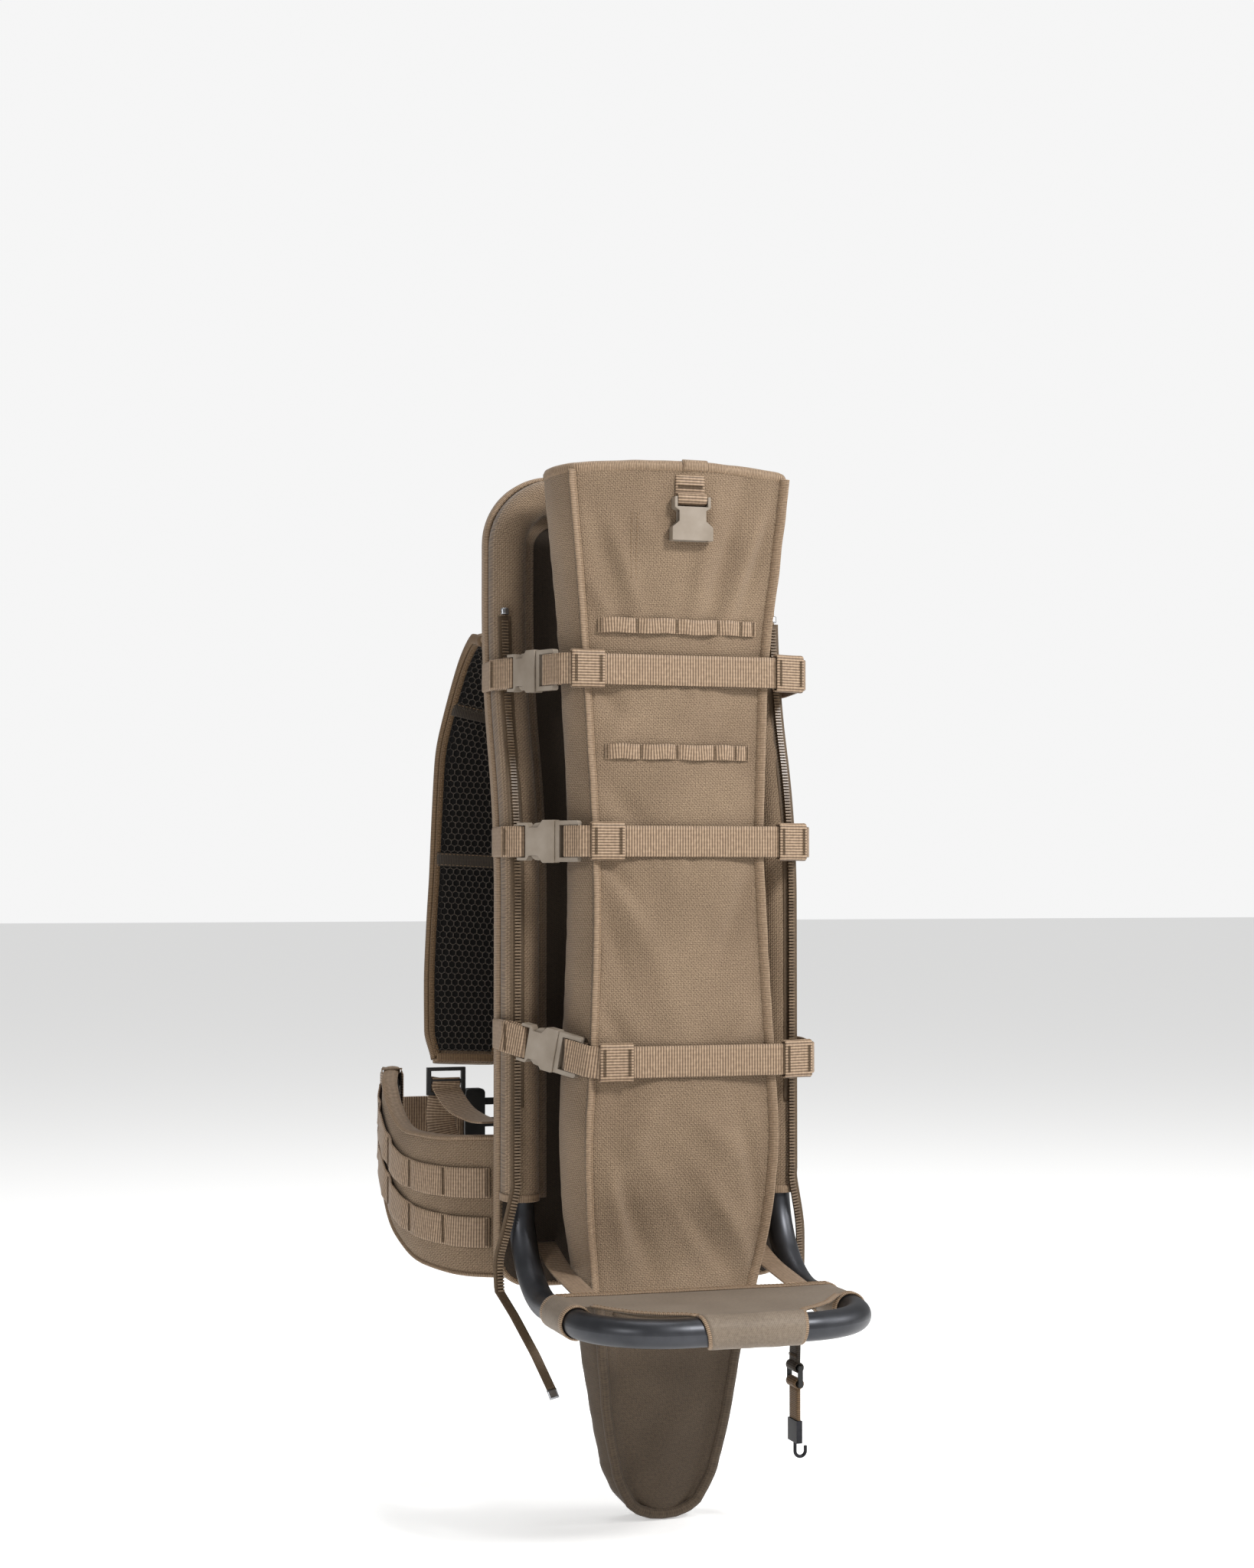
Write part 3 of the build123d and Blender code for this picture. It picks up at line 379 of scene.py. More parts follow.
# 1000-denier textured nylon, plain weave: matt and dry, with lighter threads among darker ones.
# Its threads are 0.7 mm apart; drawn at 1.5 mm, which is as fine as shows.
cordura = wovenCloth("corduraNylonCoyote", {
    "colours": ("#4a3a2c", "#7b6752", "#a38d74"), "threads": (1.5, 1.5), "twill": 3.0, "fleck": 1.3,
    "cloud": 70.0, "cloudMix": 0.55, "rough": 0.82, "sheen": 0.12, "bump": 0.75, "depth": 0.45})
# the same nylon with its coated side out, darker and slightly smoother
coatedCloth = wovenCloth("coatedNylonTaupe", {
    "colours": ("#5d5144", "#75685a", "#867969"), "threads": (0.9, 0.9), "twill": 1.8, "fleck": 2.4,
    "cloud": 45.0, "cloudMix": 0.4, "rough": 0.6, "sheen": 0.05, "bump": 0.18, "depth": 0.2})
# coated ballistic nylon of the scabbard's boot below the shelf; its dark brown is painted shade from the shelf above
bootPaintedShadeCloth = wovenCloth("bootNylonPaintedShadeDarkBrown", {
    "colours": ("#33291f", "#4c3f31", "#5d4f3f"), "threads": (1.1, 1.1), "twill": 2.2, "fleck": 2.0,
    "cloud": 50.0, "cloudMix": 0.5, "rough": 0.7, "sheen": 0.08, "bump": 0.3, "depth": 0.25})
# dark brown cloth: the lining inside the scabbard, and painted shade on the back panel's face
liningAndPaintedShade = wovenCloth("nylonLiningAndPaintedShadeBrown", {
    "colours": ("#1f1812", "#33291f", "#45382b"), "threads": (1.0, 1.0), "twill": 2.0, "fleck": 2.0,
    "cloud": 60.0, "cloudMix": 0.5, "rough": 0.75, "sheen": 0.05, "bump": 0.2, "depth": 0.2})
# tubular nylon webbing: ribs across it every 1.1 mm, drawn at 2.3 mm, as wide as shows
webbing = ribbedWebbing("nylonWebbingTan", {
    "colours": ("#5c4a39", "#957d65", "#b9a187"), "rib": 2.3, "yarn": 3.1, "fleck": 3.2,
    "rough": 0.62, "sheen": 0.1, "bump": 0.55, "depth": 0.3})
# grosgrain tape that binds the edges: fine ribs
binding = ribbedWebbing("grosgrainTapeTan", {
    "colours": ("#5e4c3a", "#8f7860", "#ad957b"), "rib": 1.4, "yarn": 4.0, "fleck": 3.0,
    "rough": 0.68, "sheen": 0.1, "bump": 0.4, "depth": 0.22})
darkWebbing = ribbedWebbing("nylonWebbingDarkBrown", {
    "colours": ("#221c16", "#393026", "#4b4033"), "rib": 1.5, "yarn": 3.1, "fleck": 2.2,
    "rough": 0.65, "sheen": 0.08, "bump": 0.5, "depth": 0.28})
brownWebbing = ribbedWebbing("nylonWebbingBrown", {
    "colours": ("#4a3825", "#6f573d", "#8b7050"), "rib": 1.5, "yarn": 3.1, "fleck": 2.2,
    "rough": 0.65, "sheen": 0.08, "bump": 0.5, "depth": 0.28})
# bonded nylon thread
thread = ribbedWebbing("bondedThreadTan", {
    "colours": ("#6d5740", "#94795c", "#ab9071"), "rib": 0.5, "yarn": 0.5, "fleck": 3.0,
    "rough": 0.55, "sheen": 0.0, "bump": 0.1, "depth": 0.05})
tackThread = ribbedWebbing("bondedThreadBrown", {
    "colours": ("#43331f", "#5d4a35", "#77614a"), "rib": 0.5, "yarn": 0.5, "fleck": 3.0,
    "rough": 0.55, "sheen": 0.0, "bump": 0.1, "depth": 0.05})
# warp-knitted polyester spacer mesh over black foam
meshNet = ribbedWebbing("spacerMeshBlack", {
    "colours": ("#211d19", "#4a4138", "#7d6f5e"), "rib": 0.9, "yarn": 1.2, "fleck": 3.0,
    "rough": 0.6, "sheen": 0.15, "bump": 0.3, "depth": 0.1})
foam = wovenCloth("foamLinerBlack", {
    "colours": ("#060504", "#0d0b09", "#15120f"), "threads": (0.9, 0.9), "twill": 1.8, "fleck": 2.0,
    "cloud": 30.0, "cloudMix": 0.3, "rough": 0.9, "sheen": 0.0, "bump": 0.2, "depth": 0.1})
zipTape = ribbedWebbing("zipTapeBrown", {
    "colours": ("#3f3223", "#5b4935", "#705c45"), "rib": 0.8, "yarn": 1.6, "fleck": 2.0,
    "rough": 0.7, "sheen": 0.05, "bump": 0.3, "depth": 0.12})
# moulded acetal: satin, with the soft edges of a mould
acetalTan = mouldedPlastic("acetalTan", {
    "colours": ("#7c7062", "#8e8376"), "grain": 0.35, "cloud": 18.0, "rough": 0.42, "edge": 0.9,
    "bump": 0.25, "metal": 0.0, "ior": 1.48, "coat": 0.0})
acetalBlack = mouldedPlastic("acetalBlack", {
    "colours": ("#0d0d0d", "#171615"), "grain": 0.35, "cloud": 18.0, "rough": 0.42, "edge": 0.8,
    "bump": 0.25, "metal": 0.0, "ior": 1.48, "coat": 0.0})
acetalBrown = mouldedPlastic("acetalToothBrown", {
    "colours": ("#5b4a38", "#7a6650"), "grain": 0.4, "cloud": 9.0, "rough": 0.38, "edge": 0.3,
    "bump": 0.1, "metal": 0.0, "ior": 1.48, "coat": 0.0})
# bead-blasted, hard-anodised aluminium tube: dark, satin, faintly mottled
anodisedTube = mouldedPlastic("hardAnodisedAluminium", {
    "colours": ("#3a3b3e", "#4a4b4f"), "grain": 0.5, "cloud": 26.0, "rough": 0.40, "edge": 0.3,
    "bump": 0.12, "metal": 0.85, "ior": 1.45, "coat": 0.0})
platedSteel = mouldedPlastic("zincPlatedSteel", {
    "colours": ("#8c8d90", "#a6a7aa"), "grain": 0.5, "cloud": 8.0, "rough": 0.3, "edge": 0.2,
    "bump": 0.1, "metal": 1.0, "ior": 1.45, "coat": 0.0})
blackSteel = mouldedPlastic("blackenedSteel", {
    "colours": ("#232326", "#333336"), "grain": 0.5, "cloud": 8.0, "rough": 0.36, "edge": 0.2,
    "bump": 0.1, "metal": 0.9, "ior": 1.45, "coat": 0.0})
polyethylene = mouldedPlastic("polyethyleneSheetBlack", {
    "colours": ("#0c0c0c", "#151515"), "grain": 0.8, "cloud": 30.0, "rough": 0.5, "edge": 0.2,
    "bump": 0.15, "metal": 0.0, "ior": 1.5, "coat": 0.0})
print("materials made:", len(bpy.data.materials))


def setMaterial(obj, material):
    for held in obj.material_slots:
        held.material = material


hardParts = {
    anodisedTube: ["frame_upper_hoop", "frame_lower_loop"],
    platedSteel: ["frame_splices"],
    blackSteel: ["lash_hook"],
    polyethylene: ["panel_stiffener"],
    acetalBlack: ["ladder_lock_left", "ladder_lock_right", "lash_triglide", "belt_buckle_socket",
                  "belt_buckle_plug"],
    acetalTan: ["buckle_sockets", "lid_buckle_socket"] + [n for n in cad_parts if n.startswith("buckle_p")],
}
for material, names in hardParts.items():
    for name in names:
        setMaterial(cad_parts[name], material)


# repeating things, by Geometry Nodes
def alongCurves(name, body, lines, data, material):
    mesh = bpy.data.meshes.new(name)
    verts, edges = [], []
    for line in lines:
        start = len(verts)
        verts += [Vector(p) * mm for p in line]
        edges += [(start + i, start + i + 1) for i in range(len(line) - 1)]
    mesh.from_pydata(verts, edges, [])
    obj = bpy.data.objects.new(name, mesh)
    bpy.context.scene.collection.objects.link(obj)
    tree = bpy.data.node_groups.new(name + "Tree", "GeometryNodeTree")
    tree.interface.new_socket("Geometry", in_out="INPUT", socket_type="NodeSocketGeometry")
    sockets = {}
    for key in ("pitch", "long", "wide", "high"):
        sockets[key] = tree.interface.new_socket(key, in_out="INPUT", socket_type="NodeSocketFloat").identifier
    tree.interface.new_socket("Geometry", in_out="OUTPUT", socket_type="NodeSocketGeometry")
    given = addNode(tree, "NodeGroupInput").outputs
    curve = addNode(tree, "GeometryNodeMeshToCurve", {"Mesh": given["Geometry"]}).outputs["Curve"]
    spots = addNode(tree, "GeometryNodeCurveToPoints", {"Curve": curve, "Length": given["pitch"]}, mode="LENGTH")
    if data.get("square"):
        unit = addNode(tree, "GeometryNodeMeshCube", {"Size": (1.0, 1.0, 1.0)}).outputs["Mesh"]
    else:
        unit = addNode(tree, "GeometryNodeMeshIcoSphere", {"Radius": 0.5, "Subdivisions": 1}).outputs["Mesh"]
    size = addNode(tree, "ShaderNodeCombineXYZ", {"X": given["wide"], "Y": given["high"], "Z": given["long"]})
    placed = addNode(tree, "GeometryNodeInstanceOnPoints", {
        "Points": spots.outputs["Points"], "Instance": unit, "Rotation": spots.outputs["Rotation"],
        "Scale": size.outputs["Vector"]}).outputs["Instances"]
    real = addNode(tree, "GeometryNodeRealizeInstances", {"Geometry": placed}).outputs["Geometry"]
    ended = addNode(tree, "GeometryNodeSetMaterial", {"Geometry": real, "Material": material}).outputs["Geometry"]
    addNode(tree, "NodeGroupOutput", {"Geometry": ended})
    maker = obj.modifiers.new("repeat", "NODES")
    maker.node_group = tree
    for key, identifier in sockets.items():
        maker[identifier] = data[key] * mm
    made = turnedToMesh(obj)
    made.name = name
    if not data.get("square"):
        made.shade_smooth()
    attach(obj, body)
    return obj


stitchSize = {"pitch": 3.4, "long": 2.7, "wide": 0.55, "high": 0.5}
tackSize = {"pitch": 1.0, "long": 1.1, "wide": 0.7, "high": 0.6}
stitchLines = {}


def sew(body, line):
    stitchLines.setdefault(body, []).append([Vector(p) for p in line])


tackLines = {}


def tack(body, middle, down, side, length):  # a bartack: three close rows of stitches
    middle, down, side = Vector(middle), Vector(down).normalized(), Vector(side).normalized()
    for shift in (-0.9, 0.0, 0.9):
        ends = [middle + side * shift + down * (length * t) for t in (-0.5, 0.0, 0.5)]
        tackLines.setdefault(body, []).append(ends)


# the frame's side curve, as the tube is bent
curve = {"start": -20.0, "arcHigh": 130.0, "arcBack": 22.0, "legX": 113.0, "corner": 45.0, "cornerZ": 283.0}


def frameY(z):
    radius = (curve["arcHigh"] ** 2 + curve["arcBack"] ** 2) / (2 * curve["arcBack"])
    first = curve["start"] + curve["arcHigh"]
    second = first + curve["arcHigh"]
    if z <= curve["start"]:
        return 0.0
    if z <= first:
        return radius - math.sqrt(radius ** 2 - (z - curve["start"]) ** 2)
    if z <= second:
        return 2 * curve["arcBack"] - radius + math.sqrt(radius ** 2 - (second - z) ** 2)
    return 2 * curve["arcBack"]


def ripple(x, y, seed, size):  # smooth noise, -1 to 1, of about size millimetres
    return noise.noise(Vector((x / size, y / size, seed)))


# back panel: face cloth, backing, bound edge
panel = {"half": 127.4, "low": -336.0, "high": 344.0, "topCorner": 57.0, "lowCorner": 25.0,
         "face": 13.0, "back": 18.4, "rowStep": 7.95, "faceThick": 1.6, "backThick": 4.6,
         "rim": {"wide": 14.0, "thick": 5.0, "at": 18.6, "seam": 11.3}}


def panelHalf(z):
    for corner, edge, way in ((panel["topCorner"], panel["high"], 1), (panel["lowCorner"], panel["low"], -1)):
        into = (z - (edge - way * corner)) * way
        if into > 0:
            return panel["half"] - corner + math.sqrt(max(0.0, corner ** 2 - min(into, corner) ** 2))
    return panel["half"]


def panelRows():
    low, high = panel["low"] + panel["lowCorner"], panel["high"] - panel["topCorner"]
    rows = [low - panel["lowCorner"] * math.cos(i * math.pi / 16) for i in range(8)]
    rows += [low + i * panel["rowStep"] for i in range(76)]
    return rows + [high + panel["topCorner"] * math.sin(i * math.pi / 32) for i in range(17)]


def panelFace(u, z):
    x = u * panelHalf(z)
    soft = 0.7 * ripple(x, z, 3.0, 42.0) + 0.4 * ripple(x, z, 9.0, 15.0)
    return x, frameY(z) + panel["face"] + 0.9 + soft, z


def panelBack(u, z):
    x = u * panelHalf(z)
    soft = 0.6 * ripple(x, z, 5.0, 50.0)
    return x, frameY(z) + panel["back"] + soft, z


columns = [-1 + i / 20 for i in range(41)]
# the panel's face is coloured dark brown as painted shade, the shade in the gap between the sleeves and the scabbard
build("panelFace", "pack", [sheetGrid(panelFace, columns, panelRows(), panel["faceThick"])], liningAndPaintedShade,
      ["panel_face"])
build("panelBacking", "pack", [sheetGrid(panelBack, columns, panelRows(), -panel["backThick"])], cordura,
      ["panel_backing"])


def panelOutline(grow):
    rows = panelRows()
    right = [(panelHalf(z) + grow, z) for z in rows]
    spread = 9
    top = [(lerp(right[-1][0] - grow, -right[-1][0] + grow, i / spread), panel["high"] + grow)
           for i in range(spread + 1)]
    left = [(-x, z) for x, z in reversed(right)]
    low = [(lerp(left[-1][0] + grow, -left[-1][0] - grow, i / spread), panel["low"] - grow)
           for i in range(spread + 1)]
    return right[1:-1] + top + left[1:-1] + low


edgeLine = resampled([(x, frameY(z) + panel["rim"]["at"], z) for x, z in panelOutline(0.4)], 4.0, closed=True)
rimTape = tape(panel["rim"]["wide"], panel["rim"]["thick"], 6)
build("panelBinding", "pack", [sweep(edgeLine, (0, 1, 0), rimTape, True)], binding, ["panel_binding"])
sew("pack", [(x, frameY(z) + panel["rim"]["seam"], z) for x, z in panelOutline(-1.4)])


# the cloth channel that covers the frame tube, from one sleeve's foot over the hoop to the other
sleeve = {"foot": -265.0, "radius": 13.9, "thick": 1.6, "flange": 25.0, "land": -11.4}


def sleeveProfile():
    r = sleeve["radius"]
    middle = [(r - 0.2, -10.6), (r, -5.0)]
    middle += [(r * math.cos(a), r * math.sin(a)) for a in steps(0.0, math.pi, 14)]
    middle += [(-r - 0.6, -4.0), (-r - 2.4, -8.0), (-r - 6.0, -10.6), (-sleeve["flange"], sleeve["land"])]
    outer, inner = [], []
    for i, (a, b) in enumerate(middle):
        before, after = middle[max(0, i - 1)], middle[min(len(middle) - 1, i + 1)]
        length = math.hypot(after[0] - before[0], after[1] - before[1])
        na, nb = (after[1] - before[1]) / length, -(after[0] - before[0]) / length
        outer.append((a + na * sleeve["thick"] / 2, b + nb * sleeve["thick"] / 2))
        inner.append((a - na * sleeve["thick"] / 2, b - nb * sleeve["thick"] / 2))
    return outer + inner[::-1]


def hoopLine(foot, grow=0.0):
    legX, corner, cornerZ = curve["legX"] + grow, curve["corner"] + grow, curve["cornerZ"]
    leg = [(-legX, frameY(z), z) for z in steps(foot, cornerZ, 90)]
    bend = [(-curve["legX"] + curve["corner"] - corner * math.cos(a), 2 * curve["arcBack"],
             cornerZ + corner * math.sin(a)) for a in [i * math.pi / 24 for i in range(1, 13)]]
    half = leg + bend
    top = [(x, half[-1][1], half[-1][2]) for x in (-45.0, -22.0, 0.0, 22.0, 45.0)]
    return half + top + [(-x, y, z) for x, y, z in reversed(half)]


def hoopOut(i, point, tangent):
    middle = Vector((0, point.y, min(point.z, curve["cornerZ"])))
    if abs(point.x) > curve["legX"] - curve["corner"] and point.z > curve["cornerZ"]:
        side = 1 if point.x > 0 else -1
        middle.x = side * (curve["legX"] - curve["corner"])
    elif point.z > curve["cornerZ"]:
        return Vector((0, 0, 1))
    return point - middle


sleeveChunk = sweep(hoopLine(sleeve["foot"]), hoopOut, sleeveProfile())
rumpled = []
for p in sleeveChunk[0]:
    puff = 0.7 * ripple(p.x + p.y, p.z, 1.0, 34.0) + 0.35 * ripple(p.x - p.y, p.z, 4.0, 11.0)
    rumpled.append(p + Vector((0, -max(-0.4, puff), 0)) * smooth(20, -4, p.y - frameY(p.z) + 6))
build("hoopSleeve", "pack", [(rumpled, sleeveChunk[1], sleeveChunk[2])], cordura,
      ["frame_sleeve_left", "frame_sleeve_right"])
sew("pack", [(p[0] * 90.8 / 113.0 if abs(p[0]) > 70 else p[0], p[1] + 10.4, min(p[2], 305.0))
             for p in hoopLine(sleeve["foot"] + 2)])
for side in (-1, 1):
    hem = [(side * 113.0 + 15.2 * math.cos(a), -15.2 * math.sin(a), sleeve["foot"] + 2.5)
           for a in steps(0.0, math.pi, 16)]
    hem = [(hem[0][0], 9.0, hem[0][2])] + hem + [(hem[-1][0], 9.0, hem[-1][2])]
    name = "sleeveHemLeft" if side < 0 else "sleeveHemRight"
    build(name, "pack", [strip(hem, (0, 0, 1), 6.5, 1.4)], binding)

# side zips: woven tape, moulded teeth, a stop at the top and a free tail on the left
zips = {"x": 120.5, "out": -15.9, "high": 222.0, "low": -260.2, "tape": 8.0,
        "teeth": {"pitch": 2.6, "long": 1.5, "wide": 5.2, "high": 2.2, "square": True}}
zipFoot = [(-260.2, 121.5, -17.6), (-288.0, 127.5, -14.0), (-312.0, 131.5, -6.0), (-338.0, 131.0, -6.0)]
zipTail = [(-356.0, 124.0, -20.0), (-385.0, 112.0, -42.0), (-411.0, 103.0, -60.0)]
for side, word in ((-1, "Left"), (1, "Right")):
    teeth = [(side * zips["x"], frameY(z) + zips["out"] - 1.8, z)
             for z in [lerp(zips["high"], zips["low"] + 6, i / 60) for i in range(61)]]
    teeth += [(side * x, y, z) for z, x, y in zipFoot[1:]]
    teeth = splineLine(teeth, 200)
    back = [p + Vector((side * 1.6, 1.7, 0)) for p in teeth]
    if side < 0:
        back += [Vector((side * x, y, z)) for z, x, y in zipTail]
    lay = sweep(resampled(back, 4.0), (1, 0, 0), tape(zips["tape"], 1.2))
    flap = [p + Vector((-side * 1.0, 3.4, 0)) for p in teeth[:165]]
    build("zipTape" + word, "pack", [lay, sweep(resampled(flap, 6.0), (1, 0.0, 0), tape(11.0, 2.0))], zipTape,
          ["side_zip_" + word.lower()])
    alongCurves("zipTeeth" + word, "pack", [teeth[2:]], zips["teeth"], acetalBrown)
    stopAt = teeth[0] + Vector((0, 0, 1.5))
    stopLine = [stopAt, stopAt + Vector((0, 0.8, 5.0))]
    build("zipStop" + word, "pack", [sweep(resampled(stopLine, 0.8), (1, 0, 0), oval(3.4, 1.9))], platedSteel)
endLine = [(-103.2, -59.4, -410.5), (-101.5, -63.0, -417.0)]
build("zipTailEnd", "pack", [strip(endLine, (1, 0, 0), 8.6, 2.4, step=1.5)], platedSteel)

# scabbard: a padded bag, lofted through its stations, with its cloth pulled in at the straps
scabbard = {"back": -5.0, "wall": 5.0, "crown": 6.2, "high": 333.0, "low": -344.0, "pull": 1.3, "lift": 4.5,
            "straps": (171.0, 31.0, -147.0), "counts": (46, 16, 22)}
stations = [
    (333.0, 91.0, -77.0, 12.0), (210.0, 78.0, -69.0, 13.0), (171.0, 75.0, -66.0, 13.0),
    (31.0, 68.0, -72.0, 14.0), (-50.0, 69.5, -79.0, 14.0), (-147.0, 74.0, -83.0, 14.0),
    (-209.0, 78.0, -83.0, 13.0), (-270.0, 75.0, -77.0, 12.0), (-330.0, 66.0, -62.0, 11.0),
    (-385.0, 59.0, -50.0, 10.0), (-443.0, 52.0, -43.0, 8.0), (-488.0, 42.0, -38.0, 7.0),
    (-505.0, 34.0, -36.0, 6.0), (-519.0, 22.0, -33.0, 4.0), (-526.0, 12.0, -30.0, 2.5)]


def stationAt(z):
    found = []
    for column in (1, 2, 3):
        rows = [(s[0], s[column]) for s in stations]
        reach = 14.0 if z > -480 else 3.0
        found.append(sum(table(rows, z + k * reach) for k in (-1, 0, 1)) / 3)
    return found


def strapPull(z):
    return sum(math.exp(-((z - level) / 12.0) ** 2) for level in scabbard["straps"])


creaseStrength = 1.7
creases = [  # x, z, half width, half length, lean in degrees, height
    (-62, 268, 7, 26, 18, -3.2), (-47, 250, 7, 34, 22, 2.8), (-66, 225, 6, 22, 30, 2.4), (-30, 285, 9, 24, 40, 1.6),
    (22, 268, 7, 60, -10, 2.0), (40, 262, 6, 62, -14, -2.4), (56, 255, 7, 58, -18, 2.6), (72, 268, 6, 40, -20, -2.0),
    (-56, 146, 9, 20, 35, -2.6), (-50, 124, 10, 18, -30, 1.8), (-46, 62, 10, 26, 40, -2.2),
    (45, 140, 12, 26, -20, -1.6),
    (-54, 4, 7, 24, 35, -3.4), (-46, -22, 8, 38, 24, 2.6), (-58, -46, 7, 34, 16, -2.4), (30, -6, 9, 34, -62, 1.6),
    (48, -30, 8, 36, -24, -2.0), (-20, -70, 12, 60, 20, 1.5), (-56, -120, 8, 22, 34, -2.4), (50, -122, 9, 24, -40, 2.0),
    (-52, -178, 9, 26, -34, -2.8), (-40, -210, 9, 40, -28, 2.2), (-55, -262, 7, 46, 12, 2.8),
    (-36, -282, 8, 52, 24, -3.0),
    (-8, -262, 9, 64, 36, 2.4), (20, -290, 8, 56, 42, -3.0), (44, -282, 8, 50, 34, 3.0), (62, -240, 7, 50, 16, -2.2),
    (30, -210, 10, 40, 50, 1.8)]


def creaseHeight(x, z):
    total = 0.0
    for x0, z0, wide, long, lean, high in creases:
        dx, dz, a = x - x0, z - z0, math.radians(lean)
        off = (dx * math.cos(a) + dz * math.sin(a)) / wide
        run = (dz * math.cos(a) - dx * math.sin(a)) / long
        if abs(off) < 2.6 and abs(run) < 2.6:
            total += high * math.exp(-off * off - run * run)
    return total * creaseStrength


def frontFolds(x, z, half):
    edge = smooth(0.0, 1.0, 1 - abs(x) / half)
    top = smooth(215, 320, z)
    low = smooth(-170, -300, z)
    calm = 1.3 * ripple(x, z * 0.6, 2.0, 46.0) + 0.6 * ripple(x, z, 7.0, 17.0)
    slantTop = 3.4 * top * ripple(x * 1.5 + z * 0.7, z * 0.25 - x * 0.2, 11.0, 34.0)
    slantLow = 4.2 * low * ripple(x * 0.9 - z * 0.8, z * 0.3 + x * 0.3, 13.0, 30.0)
    pucker = 0.5 * math.sin(z / 1.9 + 2 * ripple(x, z, 21.0, 20.0)) * math.exp(-((half - abs(x)) / 5.0) ** 2)
    gathers = 1.6 * strapPull(z + 14) * ripple(x * 1.4, z * 0.2, 17.0, 9.0)
    made = creaseHeight(x, z) * smooth(0.0, 0.12, 1 - abs(x) / half) * (1 - 0.7 * min(1.0, strapPull(z)))
    return calm * (0.4 + 0.6 * edge) + (0.5 * (slantTop + slantLow) + gathers) * edge + pucker + made


def bagRing(z, inset=0.0):
    half, front, bulge = stationAt(z)
    back, pull = scabbard["back"], scabbard["pull"] * strapPull(z)
    acrossFront, acrossSide, acrossBack = scabbard["counts"]
    lift = scabbard["lift"] * smooth(290, 333, z)

    def sidePoint(side, t):
        arch = math.sin(math.pi * t)
        x, y = half + (bulge - pull) * arch ** 0.8 - inset, lerp(front + inset, back - inset, t)
        if not inset:
            slow, fine, seed = (1.5, 0.6, 31.0) if side > 0 else (1.7, 0.8, 41.0)
            x += (slow * ripple(y * 1.2, z * 0.25, seed, 20.0) + fine * ripple(y, z, seed + 2.0, 13.0)) * arch
        return Vector((side * x, y, z))

    points = []
    for i in range(acrossFront):
        u = -1 + 2 * i / acrossFront
        x = u * (half - inset)
        y = front - (scabbard["crown"] - pull) * (1 - u * u) + inset
        y -= 0.0 if inset else frontFolds(x, z, half)
        points.append(Vector((x, y, z + lift * (1 - u * u))))
    points += [sidePoint(1, i / acrossSide) for i in range(acrossSide)]
    for i in range(acrossBack):
        u = 1 - 2 * i / acrossBack
        points.append(Vector((u * (half - inset), back - inset, z + 0.5 * lift * (1 - u * u))))
    return points + [sidePoint(-1, 1 - i / acrossSide) for i in range(acrossSide)]


def ringStack(rings):
    verts, faces, uvs, size = [], [], [], len(rings[0])
    for ring in rings:
        run = 0.0
        for j, p in enumerate(ring):
            run += (p - ring[j - 1]).length if j else 0.0
            verts.append(p)
            uvs.append((run, p.z))
    for i in range(len(rings) - 1):
        for j in range(size):
            k = (j + 1) % size
            faces.append((i * size + j, i * size + k, (i + 1) * size + k, (i + 1) * size + j))
    return verts, faces, uvs


bagLevels = steps(scabbard["high"], scabbard["low"], 190)
outside = [bagRing(z) for z in reversed(bagLevels)]
inside = [bagRing(z, scabbard["wall"]) for z in bagLevels]
ringSize = len(outside[0])
bag = build("scabbardBag", "pack", [capped(ringStack(outside + inside), ringSize)], [cordura, liningAndPaintedShade],
            ["scabbard_front", "scabbard_back", "scabbard_side_left", "scabbard_side_right"])
outerCount = ringSize * len(bagLevels)
for face in bag.data.polygons:
    face.material_index = 1 if all(k >= outerCount for k in face.vertices) else 0

# the boot below the shelf: its cloth is painted dark as the shade under the shelf
bootLevels = steps(-338.0, -505.0, 56) + [-509.0, -513.0, -517.0, -520.5, -523.5, -525.5]
bootRings = []
for z in bootLevels:
    ring = bagRing(z)
    half, front, bulge = stationAt(z)
    middle = Vector((0, (front + scabbard["back"]) / 2, z))
    shaped = []
    for p in ring:
        q = middle + (p - middle) * 0.985
        if abs(q.x) < half * 0.86 and q.y < middle.y:
            q.y += 2.6 * smooth(0.86, 0.74, abs(q.x) / half) * smooth(-345, -352, z) + 1.6
        q.z = z
        shaped.append(q)
    bootRings.append(shaped)
boot = build("scabbardBoot", "pack", [capped(ringStack(bootRings), ringSize)], bootPaintedShadeCloth, ["scabbard_toe"])

# seams: a taped edge down each corner of the bag, and a thick rolled edge round the boot
seams = []
for side in (-1, 1):
    line = []
    for z in steps(332.0, -342.0, 150):
        half, front, bulge = stationAt(z)
        wave = 0.6 * ripple(side * 30, z, 51.0, 24.0)
        line.append(Vector((side * (half + 1.4 + wave), front - 1.8 - 0.4 * wave, z)))
    seams.append(sweep(line, (side * 0.8, -0.6, 0), oval(4.3, 1.9, 12)))
    sew("pack", [p + Vector((-side * 2.0, -2.2, 0)) for p in line])
    rear = []
    for z in steps(330.0, -342.0, 150):
        half, front, bulge = stationAt(z)
        wave = 0.9 * ripple(side * 30, z, 57.0, 15.0)
        rear.append(Vector((side * (half + 1.6 + wave), scabbard["back"] - 2.4, z)))
    seams.append(sweep(rear, (side, 0, 0), oval(2.6, 2.2, 8)))
build("scabbardSeamTapes", "pack", seams, binding, ["scabbard_piping"])

